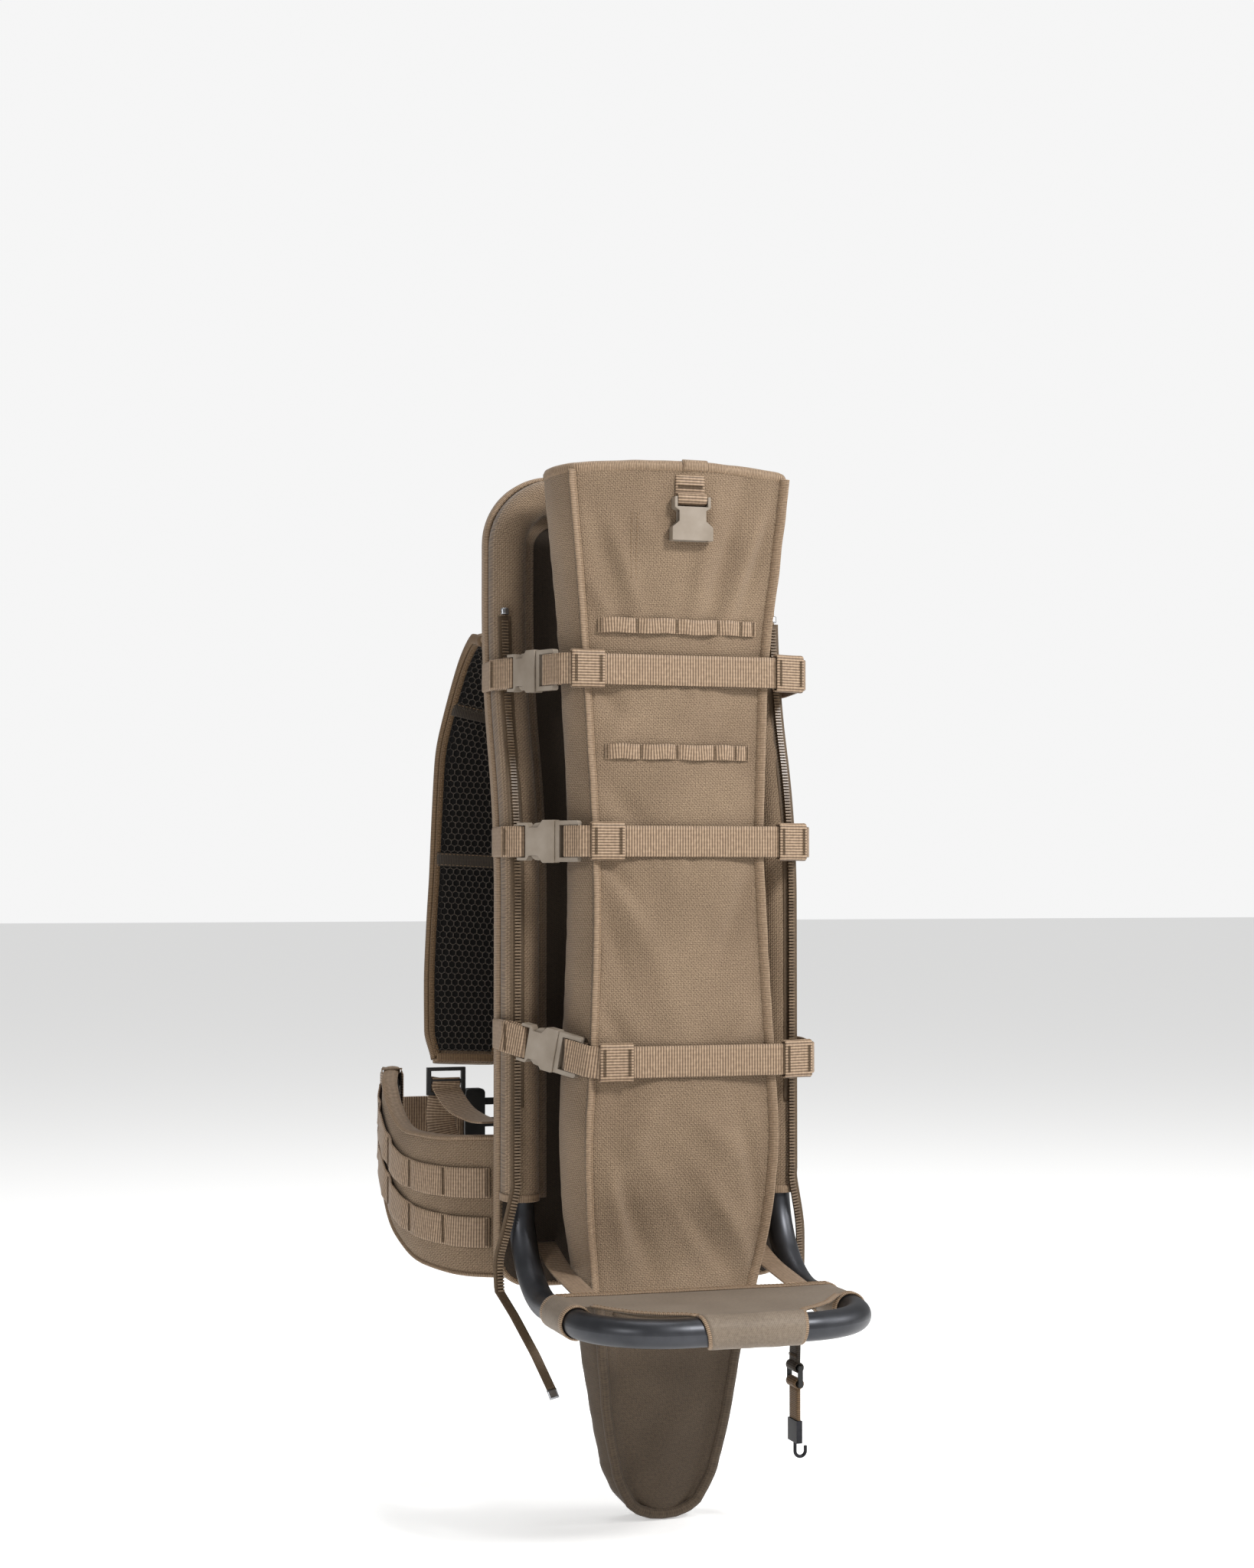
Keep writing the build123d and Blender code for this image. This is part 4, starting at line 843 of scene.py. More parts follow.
rolled = []
for side in (-1, 1):
    part = []
    for z in steps(-345.0, -505.0, 40):
        half, front, bulge = stationAt(z)
        part.append(Vector((side * (half - 1.0 + 0.5 * ripple(side * 9, z, 61.0, 18.0)), front - 0.4, z)))
    half, front, bulge = stationAt(-505.0)
    part += [Vector((side * x, front + d, z)) for x, d, z in
             ((28.5, 0.6, -512.5), (21.0, 1.4, -518.0), (11.0, 2.0, -521.5))]
    rolled.append(part)
rollLine = rolled[0] + [Vector((0, rolled[0][-1].y + 0.3, -522.5))] + rolled[1][::-1]
build("bootRolledEdge", "pack", [sweep(resampled(rollLine, 3.0), (0, 1, 0), oval(3.4, 4.4, 14))], bootPaintedShadeCloth)
arc = [(x, stationAt(-356.0)[1] - scabbard["crown"] * (1 - (x / 60) ** 2) + 2.2, -353.0 - 7.0 * (1 - (x / 50) ** 2))
       for x in range(-50, 51, 5)]
bootArc = sweep([Vector(p) + Vector((0, 0.3, 0)) for p in arc], (0, 0, 1), oval(1.5, 0.9, 8))
build("bootArcSeam", "pack", [bootArc], bootPaintedShadeCloth)

# mouth: a folded tape round the rim, with its lap at the front
mouthRing = [(a + b) / 2 for a, b in zip(bagRing(333.0), bagRing(333.0, scabbard["wall"]))]
for p in mouthRing:
    p.z += 0.4 + 0.5 * ripple(p.x, p.y, 71.0, 16.0)
mouthLine = resampled(mouthRing, 3.0, closed=True)
lap = [p + Vector((0, -0.9, 0.9)) for p in mouthLine if abs(p.x - 12) < 11 and p.y < -60]
lap.sort(key=lambda p: p.x)
build("scabbardMouthTape", "pack", [
    sweep(mouthLine, (0, 0, 1), tape(10.0, scabbard["wall"] + 2.6, 4, 0.0), True),
    sweep(lap, (0, 0.1, 1), tape(11.0, scabbard["wall"] + 3.0, 4))], binding,
    ["scabbard_mouth_binding"])
sew("pack", [p + Vector((0, -0.2, -3.2)) + (Vector((p.x, p.y + 42, 0)).normalized() * 4.3) for p in mouthLine])
print("panel and scabbard built")


# cross straps: tab, strap, keepers at each level
straps = {"width": 25.4, "thick": 1.6, "standoff": 9.5, "keeper": 28.0, "keeperBend": 2.6,
          "tabX": -132.4, "tabBack": 20.0, "tack": 21.0, "pastKeeper": 19.0, "anchorX": 132.5,
          "barWrap": 3.5, "tabWrap": 3.9, "rightX": 98.0, "turn": 17.0, "socket": 36.0, "bar": 11.3}
# height, keeper's x, length of the tab, and how far the tab stands above the strap
levels = {"upper": (171.0, -78.0, 24.0, 0.0), "middle": (31.0, -63.0, 16.0, 0.0), "lower": (-147.0, -59.0, 18.0, 19.0)}


def tableStation(z):
    return table([(s[0], s[1]) for s in stations], z), table([(s[0], s[2]) for s in stations], z)


def keeperLoop(middle, along):  # a flat tube of webbing, a rectangle with rounded corners
    up = Vector((0, 0, 1))
    out = along.cross(up).normalized()
    ring = [Vector(p) for p in ((-3.0, -15.0), (3.0, -15.0), (3.0, 15.0), (-3.0, 15.0))]
    line = []
    for a, b, c in zip(ring[-1:] + ring, ring, ring[1:] + ring[:1]):
        start, end = b + (a - b).normalized() * straps["keeperBend"], b + (c - b).normalized() * straps["keeperBend"]
        for t in steps(0.0, 1.0, 4):
            point = start * (1 - t) ** 2 + b * 2 * t * (1 - t) + end * t * t
            line.append(middle + out * point.x + up * point.y)
    return sweep(resampled(line, 2.0, True), along, tape(straps["keeper"], 1.6, 6, 0.25), True)


leftKeepers, rightKeepers, tabs = [], [], []
for level, (z, keeperX, tab, rise) in levels.items():
    half, front = tableStation(z)
    spanY = front - straps["standoff"]
    start = Vector((straps["tabX"], frameY(z) - straps["tabBack"], z + rise))
    entry = Vector((keeperX - straps["keeper"] / 2 - 4, spanY, z))
    aim = entry
    for _ in range(3):
        along = (aim - start).normalized()
        normal = along.cross(Vector((0, 0, 1))).normalized()
        aim = entry - normal * straps["barWrap"]
    bar = start + along * (tab + straps["socket"] + straps["bar"])
    turn = math.radians(straps["turn"])
    bendX = straps["rightX"] - straps["keeper"] / 2 - 4
    keeperY = spanY + (straps["rightX"] - bendX) * math.tan(turn)
    past = straps["pastKeeper"]
    last = Vector((straps["rightX"] + past * math.cos(turn), keeperY + past * math.sin(turn), z))
    anchor = Vector((straps["anchorX"], frameY(z) - 11.0, z))
    wrap = straps["barWrap"]
    around = [bar + along * 14 - normal * wrap, bar + along * 4 - normal * wrap]
    around += [bar - along * (wrap * math.sin(a)) - normal * (wrap * math.cos(a))
               for a in steps(0.0, math.pi, 10)]
    lead = [bar + along * 6 + normal * wrap, bar.lerp(entry, 0.75) + normal * wrap * 0.6]
    span = [Vector((entry.x + 4, spanY, z))]
    for i in range(1, 12):
        x = lerp(entry.x + 4, bendX, i / 12)
        span.append(Vector((x, spanY + 0.35 * ripple(x, z, 81.0, 26.0), z)))
    ending = filleted([(bendX, spanY, z), last, anchor, anchor + Vector((0, 30, 0))], 8.0)
    route = resampled(around + lead + span + ending, 2.5)
    strap = sweep(route, (0, 0, 1), tape(straps["width"], straps["thick"], 7))
    build("crossStrap" + level.capitalize(), "pack", [strap], webbing, ["cross_strap_" + level])
    leftKeepers.append(keeperLoop(Vector((keeperX, spanY, z)), Vector((1, 0, 0))))
    rightAlong = Vector((math.cos(turn), math.sin(turn), 0))
    rightKeepers.append(keeperLoop(Vector((straps["rightX"], keeperY, z)), rightAlong))
    root = [(keeperX, spanY + 3.4, z), (keeperX, min(front + 1.0, spanY + 10.0), z)]
    leftKeepers.append(strip(root, (0, 0, 1), 22.0, 20.0, step=2.0))
    root = [(straps["rightX"] - 6, keeperY + 3.6, z), (half + 4.0, front + 8.0, z)]
    rightKeepers.append(strip(root, (0, 0, 1), 22.0, 3.0, step=2.0))
    rightOut = Vector((math.sin(turn), -math.cos(turn), 0))
    for shift in (-straps["tack"] / 2, straps["tack"] / 2):
        tack("pack", (keeperX + shift, spanY - 4.0, z), (0, 0, 1), (1, 0, 0), straps["tack"])
        at = Vector((straps["rightX"], keeperY, z)) + rightAlong * shift + rightOut * 4.0
        tack("pack", at, (0, 0, 1), rightAlong, straps["tack"])
    fold = tab + 2.7  # where the tab starts to turn round the socket's bar
    w = straps["tabWrap"]
    loop = [start - normal * w, start - normal * w + along * fold]
    loop += [start + along * (fold + 2.5 * math.sin(a)) - normal * (w * math.cos(a))
             for a in [i * math.pi / 10 for i in range(1, 10)]]
    loop += [start + normal * w + along * fold, start + normal * w]
    tabs.append(sweep(resampled(loop, 1.8), (0, 0, 1), tape(straps["width"], straps["thick"], 7)))
    root = [start - normal * 0.5 + along * 2.0, start + Vector((0, 2, 0)), start + Vector((0, 33, 0))]
    tabs.append(sweep(resampled(filleted(root, 3.0), 2.0), (0, 0, 1), tape(straps["width"], 2 * straps["thick"], 7)))
    tack("pack", start + along * 4.0 + normal * 5.0, (0, 0, 1), along, straps["tack"])
build("strapKeepersLeft", "pack", leftKeepers, webbing, ["strap_keepers_left"])
build("strapKeepersRight", "pack", rightKeepers, webbing, ["strap_keepers_right"])
build("strapTabs", "pack", tabs, webbing, ["strap_tabs"])

# the two narrow tapes with their loops on the scabbard's front
chain = {207.0: 68.0, 104.0: 62.0}
tackAt = (-0.97, -0.52, -0.03, 0.5, 0.8, 0.97)
chains = []
for z, reach in chain.items():
    half, front = stationAt(z)[:2]
    line = []
    for i in range(91):
        u = -1 + i / 45
        gap = min(abs(u - t) for t in tackAt)
        x = u * reach
        y = front - scabbard["crown"] * (1 - (x / half) ** 2) - 1.5 - 1.7 * smooth(0.0, 0.13, gap)
        sag = 1.1 * math.sin((u + 1) * 9.0) * smooth(0, 0.2, gap)
        line.append((x, y, z + sag * 0.6))
    chains.append(sweep(line, (0, 0, 1), tape(12.6, 1.2, 5)))
    for t in tackAt:
        x = t * reach
        y = front - scabbard["crown"] * (1 - (x / half) ** 2) - 2.3
        tack("pack", (x, y, z), (0, 0, 1), (1, 0, 0), 10.5)
build("daisyChains", "pack", chains, webbing, ["daisy_chains"])

# a stitched block on the upper left of the scabbard's front
for x in (-42.0, -37.5):
    line = []
    for z in range(246, 300, 4):
        half, front = stationAt(z)[:2]
        line.append((x, front - scabbard["crown"] * (1 - (x / half) ** 2) - frontFolds(x, z, half) - 0.3, z))
    sew("pack", line)

# lid buckle's loop
lid = {"x": 7.5, "z": 311.0}
lidHalf, lidFront = tableStation(lid["z"])
lidFace = lidFront - 4.0 * (1 - lid["x"] / lidHalf)
inner = math.hypot(3.0, 5.0) / 2 + 0.5
hingeY = lidFace - 1.2 - inner - 1.6
lidRing = [(lid["x"], hingeY + (inner + 0.8) * math.cos(a), lid["z"] + (inner + 0.8) * math.sin(a))
           for a in turns(24)]
patchY = hingeY + inner + 0.8
patch = [(lid["x"], patchY - 1.2, 331.0), (lid["x"], patchY - 1.4, 322.0), (lid["x"], patchY, 311.5)]
lidTape = strip(patch, (1, 0, 0), straps["width"], 2.4)
build("lidBuckleLoop", "pack", [sweep(lidRing, (1, 0, 0), tape(straps["width"], straps["thick"], 6), True), lidTape],
      webbing, ["lid_buckle_loop"])
tack("pack", (lid["x"], patchY - 3.0, 321.5), (1, 0, 0), (0, 0, 1), 21.0)

# load shelf's sling
sling = {"shelfZ": -340.0, "frontY": -232.0, "out": 12.2, "sag": 1.6}
deckLeft = [(-244.0, -36.0), (-232.0, -36.0), (-222.0, -44.0), (-214.0, -62.0), (-200.0, -79.0), (-182.0, -92.0),
            (-164.0, -104.0), (-160.0, -113.0), (-100.0, -113.0)]
deckRight = [(-244.0, 46.0), (-232.0, 46.0), (-222.0, 53.0), (-214.0, 66.0), (-200.0, 80.0), (-182.0, 92.0),
             (-164.0, 104.0), (-160.0, 113.0), (-100.0, 113.0)]


def deckTop(u, y):
    left, right = table(deckLeft, y), table(deckRight, y)
    x = lerp(left, right, (u + 1) / 2)
    dip = sling["sag"] * (1 - (x / 113.0) ** 2) * math.sin(math.pi * (y + 232) / 124.0)
    z = sling["shelfZ"] + sling["out"] + 0.2 - dip + 0.5 * ripple(x, y, 91.0, 30.0)
    return x, y, z


deckRows = steps(-232.0, -108.0, 44)
slingChunks = [sheetGrid(deckTop, [-1 + i / 30 for i in range(61)], deckRows, -1.3)]
for side in (-1, 1):
    def wrapSide(a, y, side=side):
        r = sling["out"] + 0.35 * ripple(a * 14, y, 93.0 + side, 12.0)
        return side * 113.0 + side * r * math.sin(a), y, sling["shelfZ"] + r * math.cos(a)
    slingChunks.append(sheetGrid(wrapSide, [i * 2 * math.pi / 48 - 0.4 for i in range(49)],
                                 steps(-163.5, -108.0, 12), -1.2))


def wrapFront(a, u):
    share = min(1.0, a / 4.4)
    x = lerp(lerp(-36.0, -24.0, share), lerp(46.0, 40.0, share), u)
    r = sling["out"] + 0.4 * ripple(x, a * 13, 95.0, 14.0)
    return x, sling["frontY"] - r * math.sin(a), sling["shelfZ"] + r * math.cos(a)


slingChunks.append(sheetGrid(wrapFront, [-0.1 + i * 5.6 / 44 for i in range(45)], [i / 26 for i in range(27)], 1.2))
build("shelfSling", "pack", slingChunks, coatedCloth, ["shelf_sling"])

slingTapes = []
rearHem = [Vector(deckTop(u / 20, -112.5)) + Vector((0, 0, 0.5)) for u in range(-20, 21)]
slingTapes.append(sweep(rearHem, (0, 1, 0), tape(11.0, 1.4, 6)))
for y in (-109.5, -112.5, -115.5):
    sew("pack", [Vector(deckTop(u / 20, y)) + Vector((0, 0, 1.4)) for u in range(-20, 21)])
for u in (-0.985, 0.985):
    side = 1 if u > 0 else -1
    edge = [Vector(deckTop(u, y)) + Vector((0, 0, 0.4)) for y in steps(-229.0, -166.0, 26)]
    slingTapes.append(sweep(edge, (1, 0.3 * -side, 0), tape(6.0, 1.8, 5)))
    sew("pack", [p + Vector((-side * 1.6, 0, 1.1)) for p in edge])
    lipped = [Vector(wrapFront(i * 5.4 / 40, 0.02 if u < 0 else 0.98)) for i in range(41)]
    slingTapes.append(sweep(lipped, (1, 0, 0), tape(8.5, 2.2, 5)))
for side in (-1, 1):
    edge = [(side * 113.0 + side * 12.6 * math.sin(a), -162.0, sling["shelfZ"] + 12.6 * math.cos(a))
            for a in turns(40)]
    slingTapes.append(sweep(edge, (0, 1, 0), tape(7.5, 1.8, 5), True))
    edge = [(x, -110.0, z) for x, y, z in edge]
    slingTapes.append(sweep(edge, (0, 1, 0), tape(7.5, 1.8, 5), True))
build("slingTapes", "pack", slingTapes, binding)

anchors = []
for side in (-1, 1):
    route = filleted([(side * 90.0, -107.0, -327.6), (side * 90.0, -40.0, -318.7), (side * 90.0, 11.0, -302.7)], 20)
    anchors.append(sweep(resampled(route, 3.0), (1, 0, 0), tape(20.0, 1.6, 6)))
build("shelfAnchorStraps", "pack", anchors, webbing, ["shelf_anchor_straps"])
print("straps and shelf built")


# open honeycomb mesh over the padded parts
net = {"strand": 1.0, "shoulderCell": 6.0, "backCell": 6.0, "beltCell": 7.0}


def honeycomb(at, halfWidth, length, cell):  # hexagons laid by at(across, along)
    verts, faces, uvs, found = [], [], [], {}
    side = cell / math.sqrt(3)
    rows = int(length / (1.5 * side))
    for r in range(1, rows):
        y = r * 1.5 * side
        wide = int(halfWidth(y) / cell + 0.5)
        for c in range(-wide, wide + 1):
            x = c * cell + (0.5 * cell if r % 2 else 0.0)
            if abs(x) + cell * 0.5 > halfWidth(y):
                continue
            face = []
            for k in range(6):
                a = math.pi / 6 + k * math.pi / 3
                px, py = x + side * math.cos(a), y + side * math.sin(a)
                key = (round(px * 4), round(py * 4))
                if key not in found:
                    found[key] = len(verts)
                    verts.append(Vector(at(px, min(length, max(0.0, py)))))
                    uvs.append((px, py))
                face.append(found[key])
            faces.append(tuple(face))
    return verts, faces, uvs


def netPiece(name, body, chunks):
    obj = makeObject(name, chunks, [meshNet])
    wires = obj.modifiers.new("strands", "WIREFRAME")
    wires.thickness = net["strand"] * mm
    wires.use_even_offset = False
    turnedToMesh(obj).shade_smooth()
    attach(obj, body)


def superOval(a, b, count, power=0.5):  # a padded section: flat faces, full round edges
    section = []
    for i in range(count):
        c, s = math.cos(2 * math.pi * i / count), math.sin(2 * math.pi * i / count)
        section.append((a * math.copysign(abs(c) ** power, c), b * math.copysign(abs(s) ** (power + 0.15), s)))
    return section


# shoulder straps
shoulder = {"width": 68.0, "thick": 13.0, "netHalf": 28.5, "linerLift": 0.9, "netLift": 1.9}
shoulderSide = [(84.0, 207.0), (108.0, 207.0), (132.0, 178.0), (147.0, 110.0), (147.0, 0.0), (136.0, -85.0),
                (118.0, -160.0)]
shoulderCentre = [(88.0, 245.0), (100.0, 192.0), (117.0, 110.0), (122.0, 0.0), (129.0, -85.0), (133.0, -175.0)]
lowerRoute = [(116.0, 148.0, -181.0), (90.0, 142.0, -197.0), (60.0, 132.0, -204.0), (36.0, 126.0, -204.0)]
for side, word in ((-1, "Left"), (1, "Right")):
    body = "shoulder_" + word.lower()
    raw = []
    for y, z in splineLine([(a, b) for a, b in shoulderSide], 120):
        raw.append(Vector((side * table([(r[1], r[0]) for r in shoulderCentre], z), y, z)))
    for _ in range(6):
        raw = [raw[0]] + [(a + 2 * b + c) / 4 for a, b, c in zip(raw, raw[1:], raw[2:])] + [raw[-1]]
    line = resampled(raw, 4.0)
    length = 4.0 * (len(line) - 1)
    ways = tangents(line)

    def tip(share):
        return 1.0 - 0.16 * smooth(0.93, 1.0, share) - 0.1 * smooth(0.06, 0.0, share)

    section = superOval(shoulder["width"] / 2 - 1.2, shoulder["thick"] / 2 - 0.4, 36)
    pad = sweep(line, (1, 0, 0), section, scale=tip)
    for p in pad[0]:
        p.y += 0.35 * ripple(p.x, p.z, 101.0, 26.0)
    build("shoulderPad" + word, body, [pad], cordura, ["shoulder_strap_" + word.lower()])

    def padPoint(x, s, lift, line=line, ways=ways, length=length):
        f = min(len(line) - 1.001, max(0.0, s / length * (len(line) - 1)))
        i = int(f)
        point = line[i].lerp(line[i + 1], f - i)
        way = ways[i].lerp(ways[i + 1], f - i).normalized()
        wide = (Vector((1, 0, 0)) - way * way.x).normalized()
        out = way.cross(wide)
        half = shoulder["width"] / 2 - 1.2
        edge = max(0.0, 1 - (abs(x) / half) ** 4) ** 0.4
        return point + wide * x + out * ((shoulder["thick"] / 2 - 0.6) * edge + lift)

    spans = steps(-shoulder["netHalf"], shoulder["netHalf"], 20)
    runs = steps(8.0, length - 10.0, 90)
    liner = sheetGrid(lambda x, s: padPoint(x, s, shoulder["linerLift"]), spans, runs, 0.4)
    build("shoulderLiner" + word, body, [liner], foam)
    cells = honeycomb(lambda x, s: padPoint(x, s, shoulder["netLift"]),
                      lambda s: shoulder["netHalf"] if 8 < s < length - 12 else 0, length, net["shoulderCell"])
    netPiece("shoulderMesh" + word, body, [cells])
    rims = []
    for edge in (-1, 1):
        rim = [padPoint(edge * (32.4 * tip(s / length)), s, 2.0 if s < 0 else -2.5) for s in
               steps(2.0, length - 3.0, 110)]
        rims.append(sweep(rim, (edge, 0, 0), oval(2.4, 4.6, 10)))
        inset = [padPoint(edge * (29.2 * tip(s / length)), s, 1.2) for s in
                 steps(4.0, length - 5.0, 110)]
        rims.append(sweep(inset, (edge, 0, 0), tape(5.0, 1.3, 4)))
        sew(body, [p + Vector((0, -0.9, 0)) for p in inset])
    for s in (4.0, length - 4.0):
        across = [padPoint(x * tip(s / length), s, 1.0) for x in range(-30, 31, 3)]
        rims.append(sweep(across, (0, 0, 1), tape(7.0, 1.8, 4)))
    build("shoulderBinding" + word, body, rims, brownWebbing)
    bands = []
    for s in (0.24 * length, 0.56 * length):
        across = [padPoint(x, s, 1.9) for x in range(-30, 31, 2)]
        bands.append(sweep(across, (0, 0, 1), tape(12.0, 1.2, 5)))
        for d in (-4.8, 4.8):
            sew(body, [padPoint(x, s + d, 2.7) for x in range(-29, 30, 2)])
    build("shoulderBands" + word, body, bands, darkWebbing)

    lower = [Vector((side * x, y, z)) for y, x, z in lowerRoute]
    hook = [lower[0] + Vector((0, 3.2, 9.0)), lower[0] + Vector((0, 1.5, 4.0)), lower[0] + Vector((0, -1.0, -1.0))]
    tail = [lower[0] + Vector((0, 5.6, 8.0)), lower[0] + Vector((side * 2, 6.5, -6.0)),
            lower[0] + Vector((side * 5, 1.0, -26.0)), lower[0] + Vector((side * 3, -9.0, -44.0)),
            lower[0] + Vector((side * -4, -15.0, -56.0))]
    tailLine = splineLine(tail, 30)
    strapLine = splineLine(hook + lower[1:], 40)
    build("lowerStrap" + word, body, [sweep(resampled(strapLine, 2.5), (1, 0, 0), tape(25.0, 1.6, 6)),
                                     sweep(resampled(tailLine, 2.5), (1, 0.2 * side, 0), tape(25.0, 1.5, 6))],
          webbing, ["lower_strap_" + word.lower()])

# yokes and lower tabs that the harness swings from
yokes = []
for side in (-1, 1):
    rear = 23.6 + frameY(207.0) + 1.0
    line = [(side * 94.0, lerp(rear, 80.8, i / 8), 207.0) for i in range(9)]
    yokes.append(sweep(line, (1, 0, 0), superOval(10.0, 6.5, 20, 0.55)))
    line = [(side * 117.5, lerp(23.6, 32.8, i / 5), -204.0) for i in range(6)]
    yokes.append(sweep(line, (1, 0, 0), superOval(9.0, 3.0, 16, 0.4)))
build("harnessYokes", "pack", yokes, webbing, ["harness_anchors"])

# back pads and lumbar pad
pads = {"columns": {"x0": 50.0, "half": 29.6, "low": -149.6, "high": 164.6, "thick": 15.4, "corner": 24.0},
        "lumbar": {"x0": 0.0, "half": 73.6, "low": -317.6, "high": -170.4, "thick": 25.2, "corner": 34.0}}


def cushion(x0, half, low, high, thick, corner):
    def halfAt(z):
        into = max(0.0, max(z - (high - corner), (low + corner) - z))
        return half - corner + math.sqrt(max(0.0, corner ** 2 - min(into, corner) ** 2))

    def skin(u, z):
        reach = min(half - abs(u) * halfAt(z), (z - low), (high - z))
        rise = 1 - (1 - min(1.0, max(0.0, reach) / (0.9 * thick))) ** 2.4
        puff = 0.9 + 0.1 * math.cos(u * math.pi / 2) + 0.02 * ripple(u * 30, z, 111.0, 30.0)
        return x0 + u * halfAt(z), frameY(z) + 24.0 + (thick - 0.4) * (0.12 + 0.88 * rise) * puff, z

    def base(u, z):
        return x0 + u * halfAt(z), frameY(z) + 23.8, z

    us = [-math.cos(a) for a in steps(0.0, math.pi, 36)]
    vs = [lerp(low, high, 0.5 - 0.5 * math.cos(i * math.pi / 70)) for i in range(71)]
    top, bottom = [[f(u, v) for u in us for v in vs] for f in (skin, base)]
    chunk = ([Vector(p) for p in top + bottom], shellFaces(len(us), len(vs)), [(p[0], p[2]) for p in top + bottom])
    outline = [(x0 + halfAt(z), frameY(z) + 25.6, z) for z in vs]
    outline += [(2 * x0 - x, y, z) for x, y, z in reversed(outline)]
    cells = honeycomb(lambda x, s: Vector(skin(max(-1, min(1, x / halfAt(low + s))), low + s)) + Vector((0, 0.7, 0)),
                      lambda s: max(0.0, halfAt(low + s) - 5.0) if 5 < s < high - low - 5 else 0.0,
                      high - low, net["backCell"])
    return chunk, sweep(resampled(outline, 4.0, True), (0, 1, 0), oval(2.6, 1.4, 8), True), cells


columnPads = [cushion(**{**pads["columns"], "x0": side * pads["columns"]["x0"]}) for side in (-1, 1)]
lumbar = cushion(**pads["lumbar"])
build("backPads", "pack", [made[0] for made in columnPads], foam, ["back_pads"])
build("lumbarPad", "pack", [lumbar[0]], foam, ["lumbar_pad"])
build("padBindings", "pack", [made[1] for made in columnPads + [lumbar]], binding)
netPiece("backMesh", "pack", [made[2] for made in columnPads + [lumbar]])

# hip belt
belt = {"root": (90.0, 38.0), "rightTurn": 18.0, "rows": (0.33, 0.68), "tackEvery": 38.0,
        "webZ": -222.0, "turn": 20.0, "buckleX": 104.0,
        "length": 245.0, "half": 7.1, "squareness": 0.45, "webbing": 50.0}
beltPlan = [(84.0, 36.0), (118.0, 41.0), (151.0, 58.0), (174.0, 92.0), (185.0, 135.0), (185.0, 178.0),
            (175.0, 212.0)]
beltTop = [(18.0, -214.0), (70.0, -217.0), (118.0, -215.0), (148.0, -200.0), (180.0, -179.0), (215.0, -166.0)]
beltLow = [(18.0, -334.0), (50.0, -334.0), (95.0, -325.0), (140.0, -302.0), (180.0, -268.0), (215.0, -242.0)]


def beltEdge(rows, y):
    return sum(table(rows, y + d) for d in (-9, 0, 9)) / 3


def beltPoint(s, level, offset):  # before it is mirrored or turned to its side
    x, y = splinePoint(beltPlan, s)
    x2, y2 = splinePoint(beltPlan, min(1.0, s + 0.004))
    x1, y1 = splinePoint(beltPlan, max(0.0, s - 0.004))
    length = math.hypot(x2 - x1, y2 - y1)
    nx, ny = (y2 - y1) / length, -(x2 - x1) / length
    z = lerp(beltEdge(beltTop, y), beltEdge(beltLow, y), level)
    return Vector((x + nx * offset, y + ny * offset, z))


def toSide(side, p):
    if side < 0:
        return Vector((-p.x, p.y, p.z))
    a, (rx, ry) = math.radians(belt["rightTurn"]), belt["root"]
    x, y = p.x - rx, p.y - ry
    return Vector((rx + x * math.cos(a) - y * math.sin(a), ry + x * math.sin(a) + y * math.cos(a), p.z))


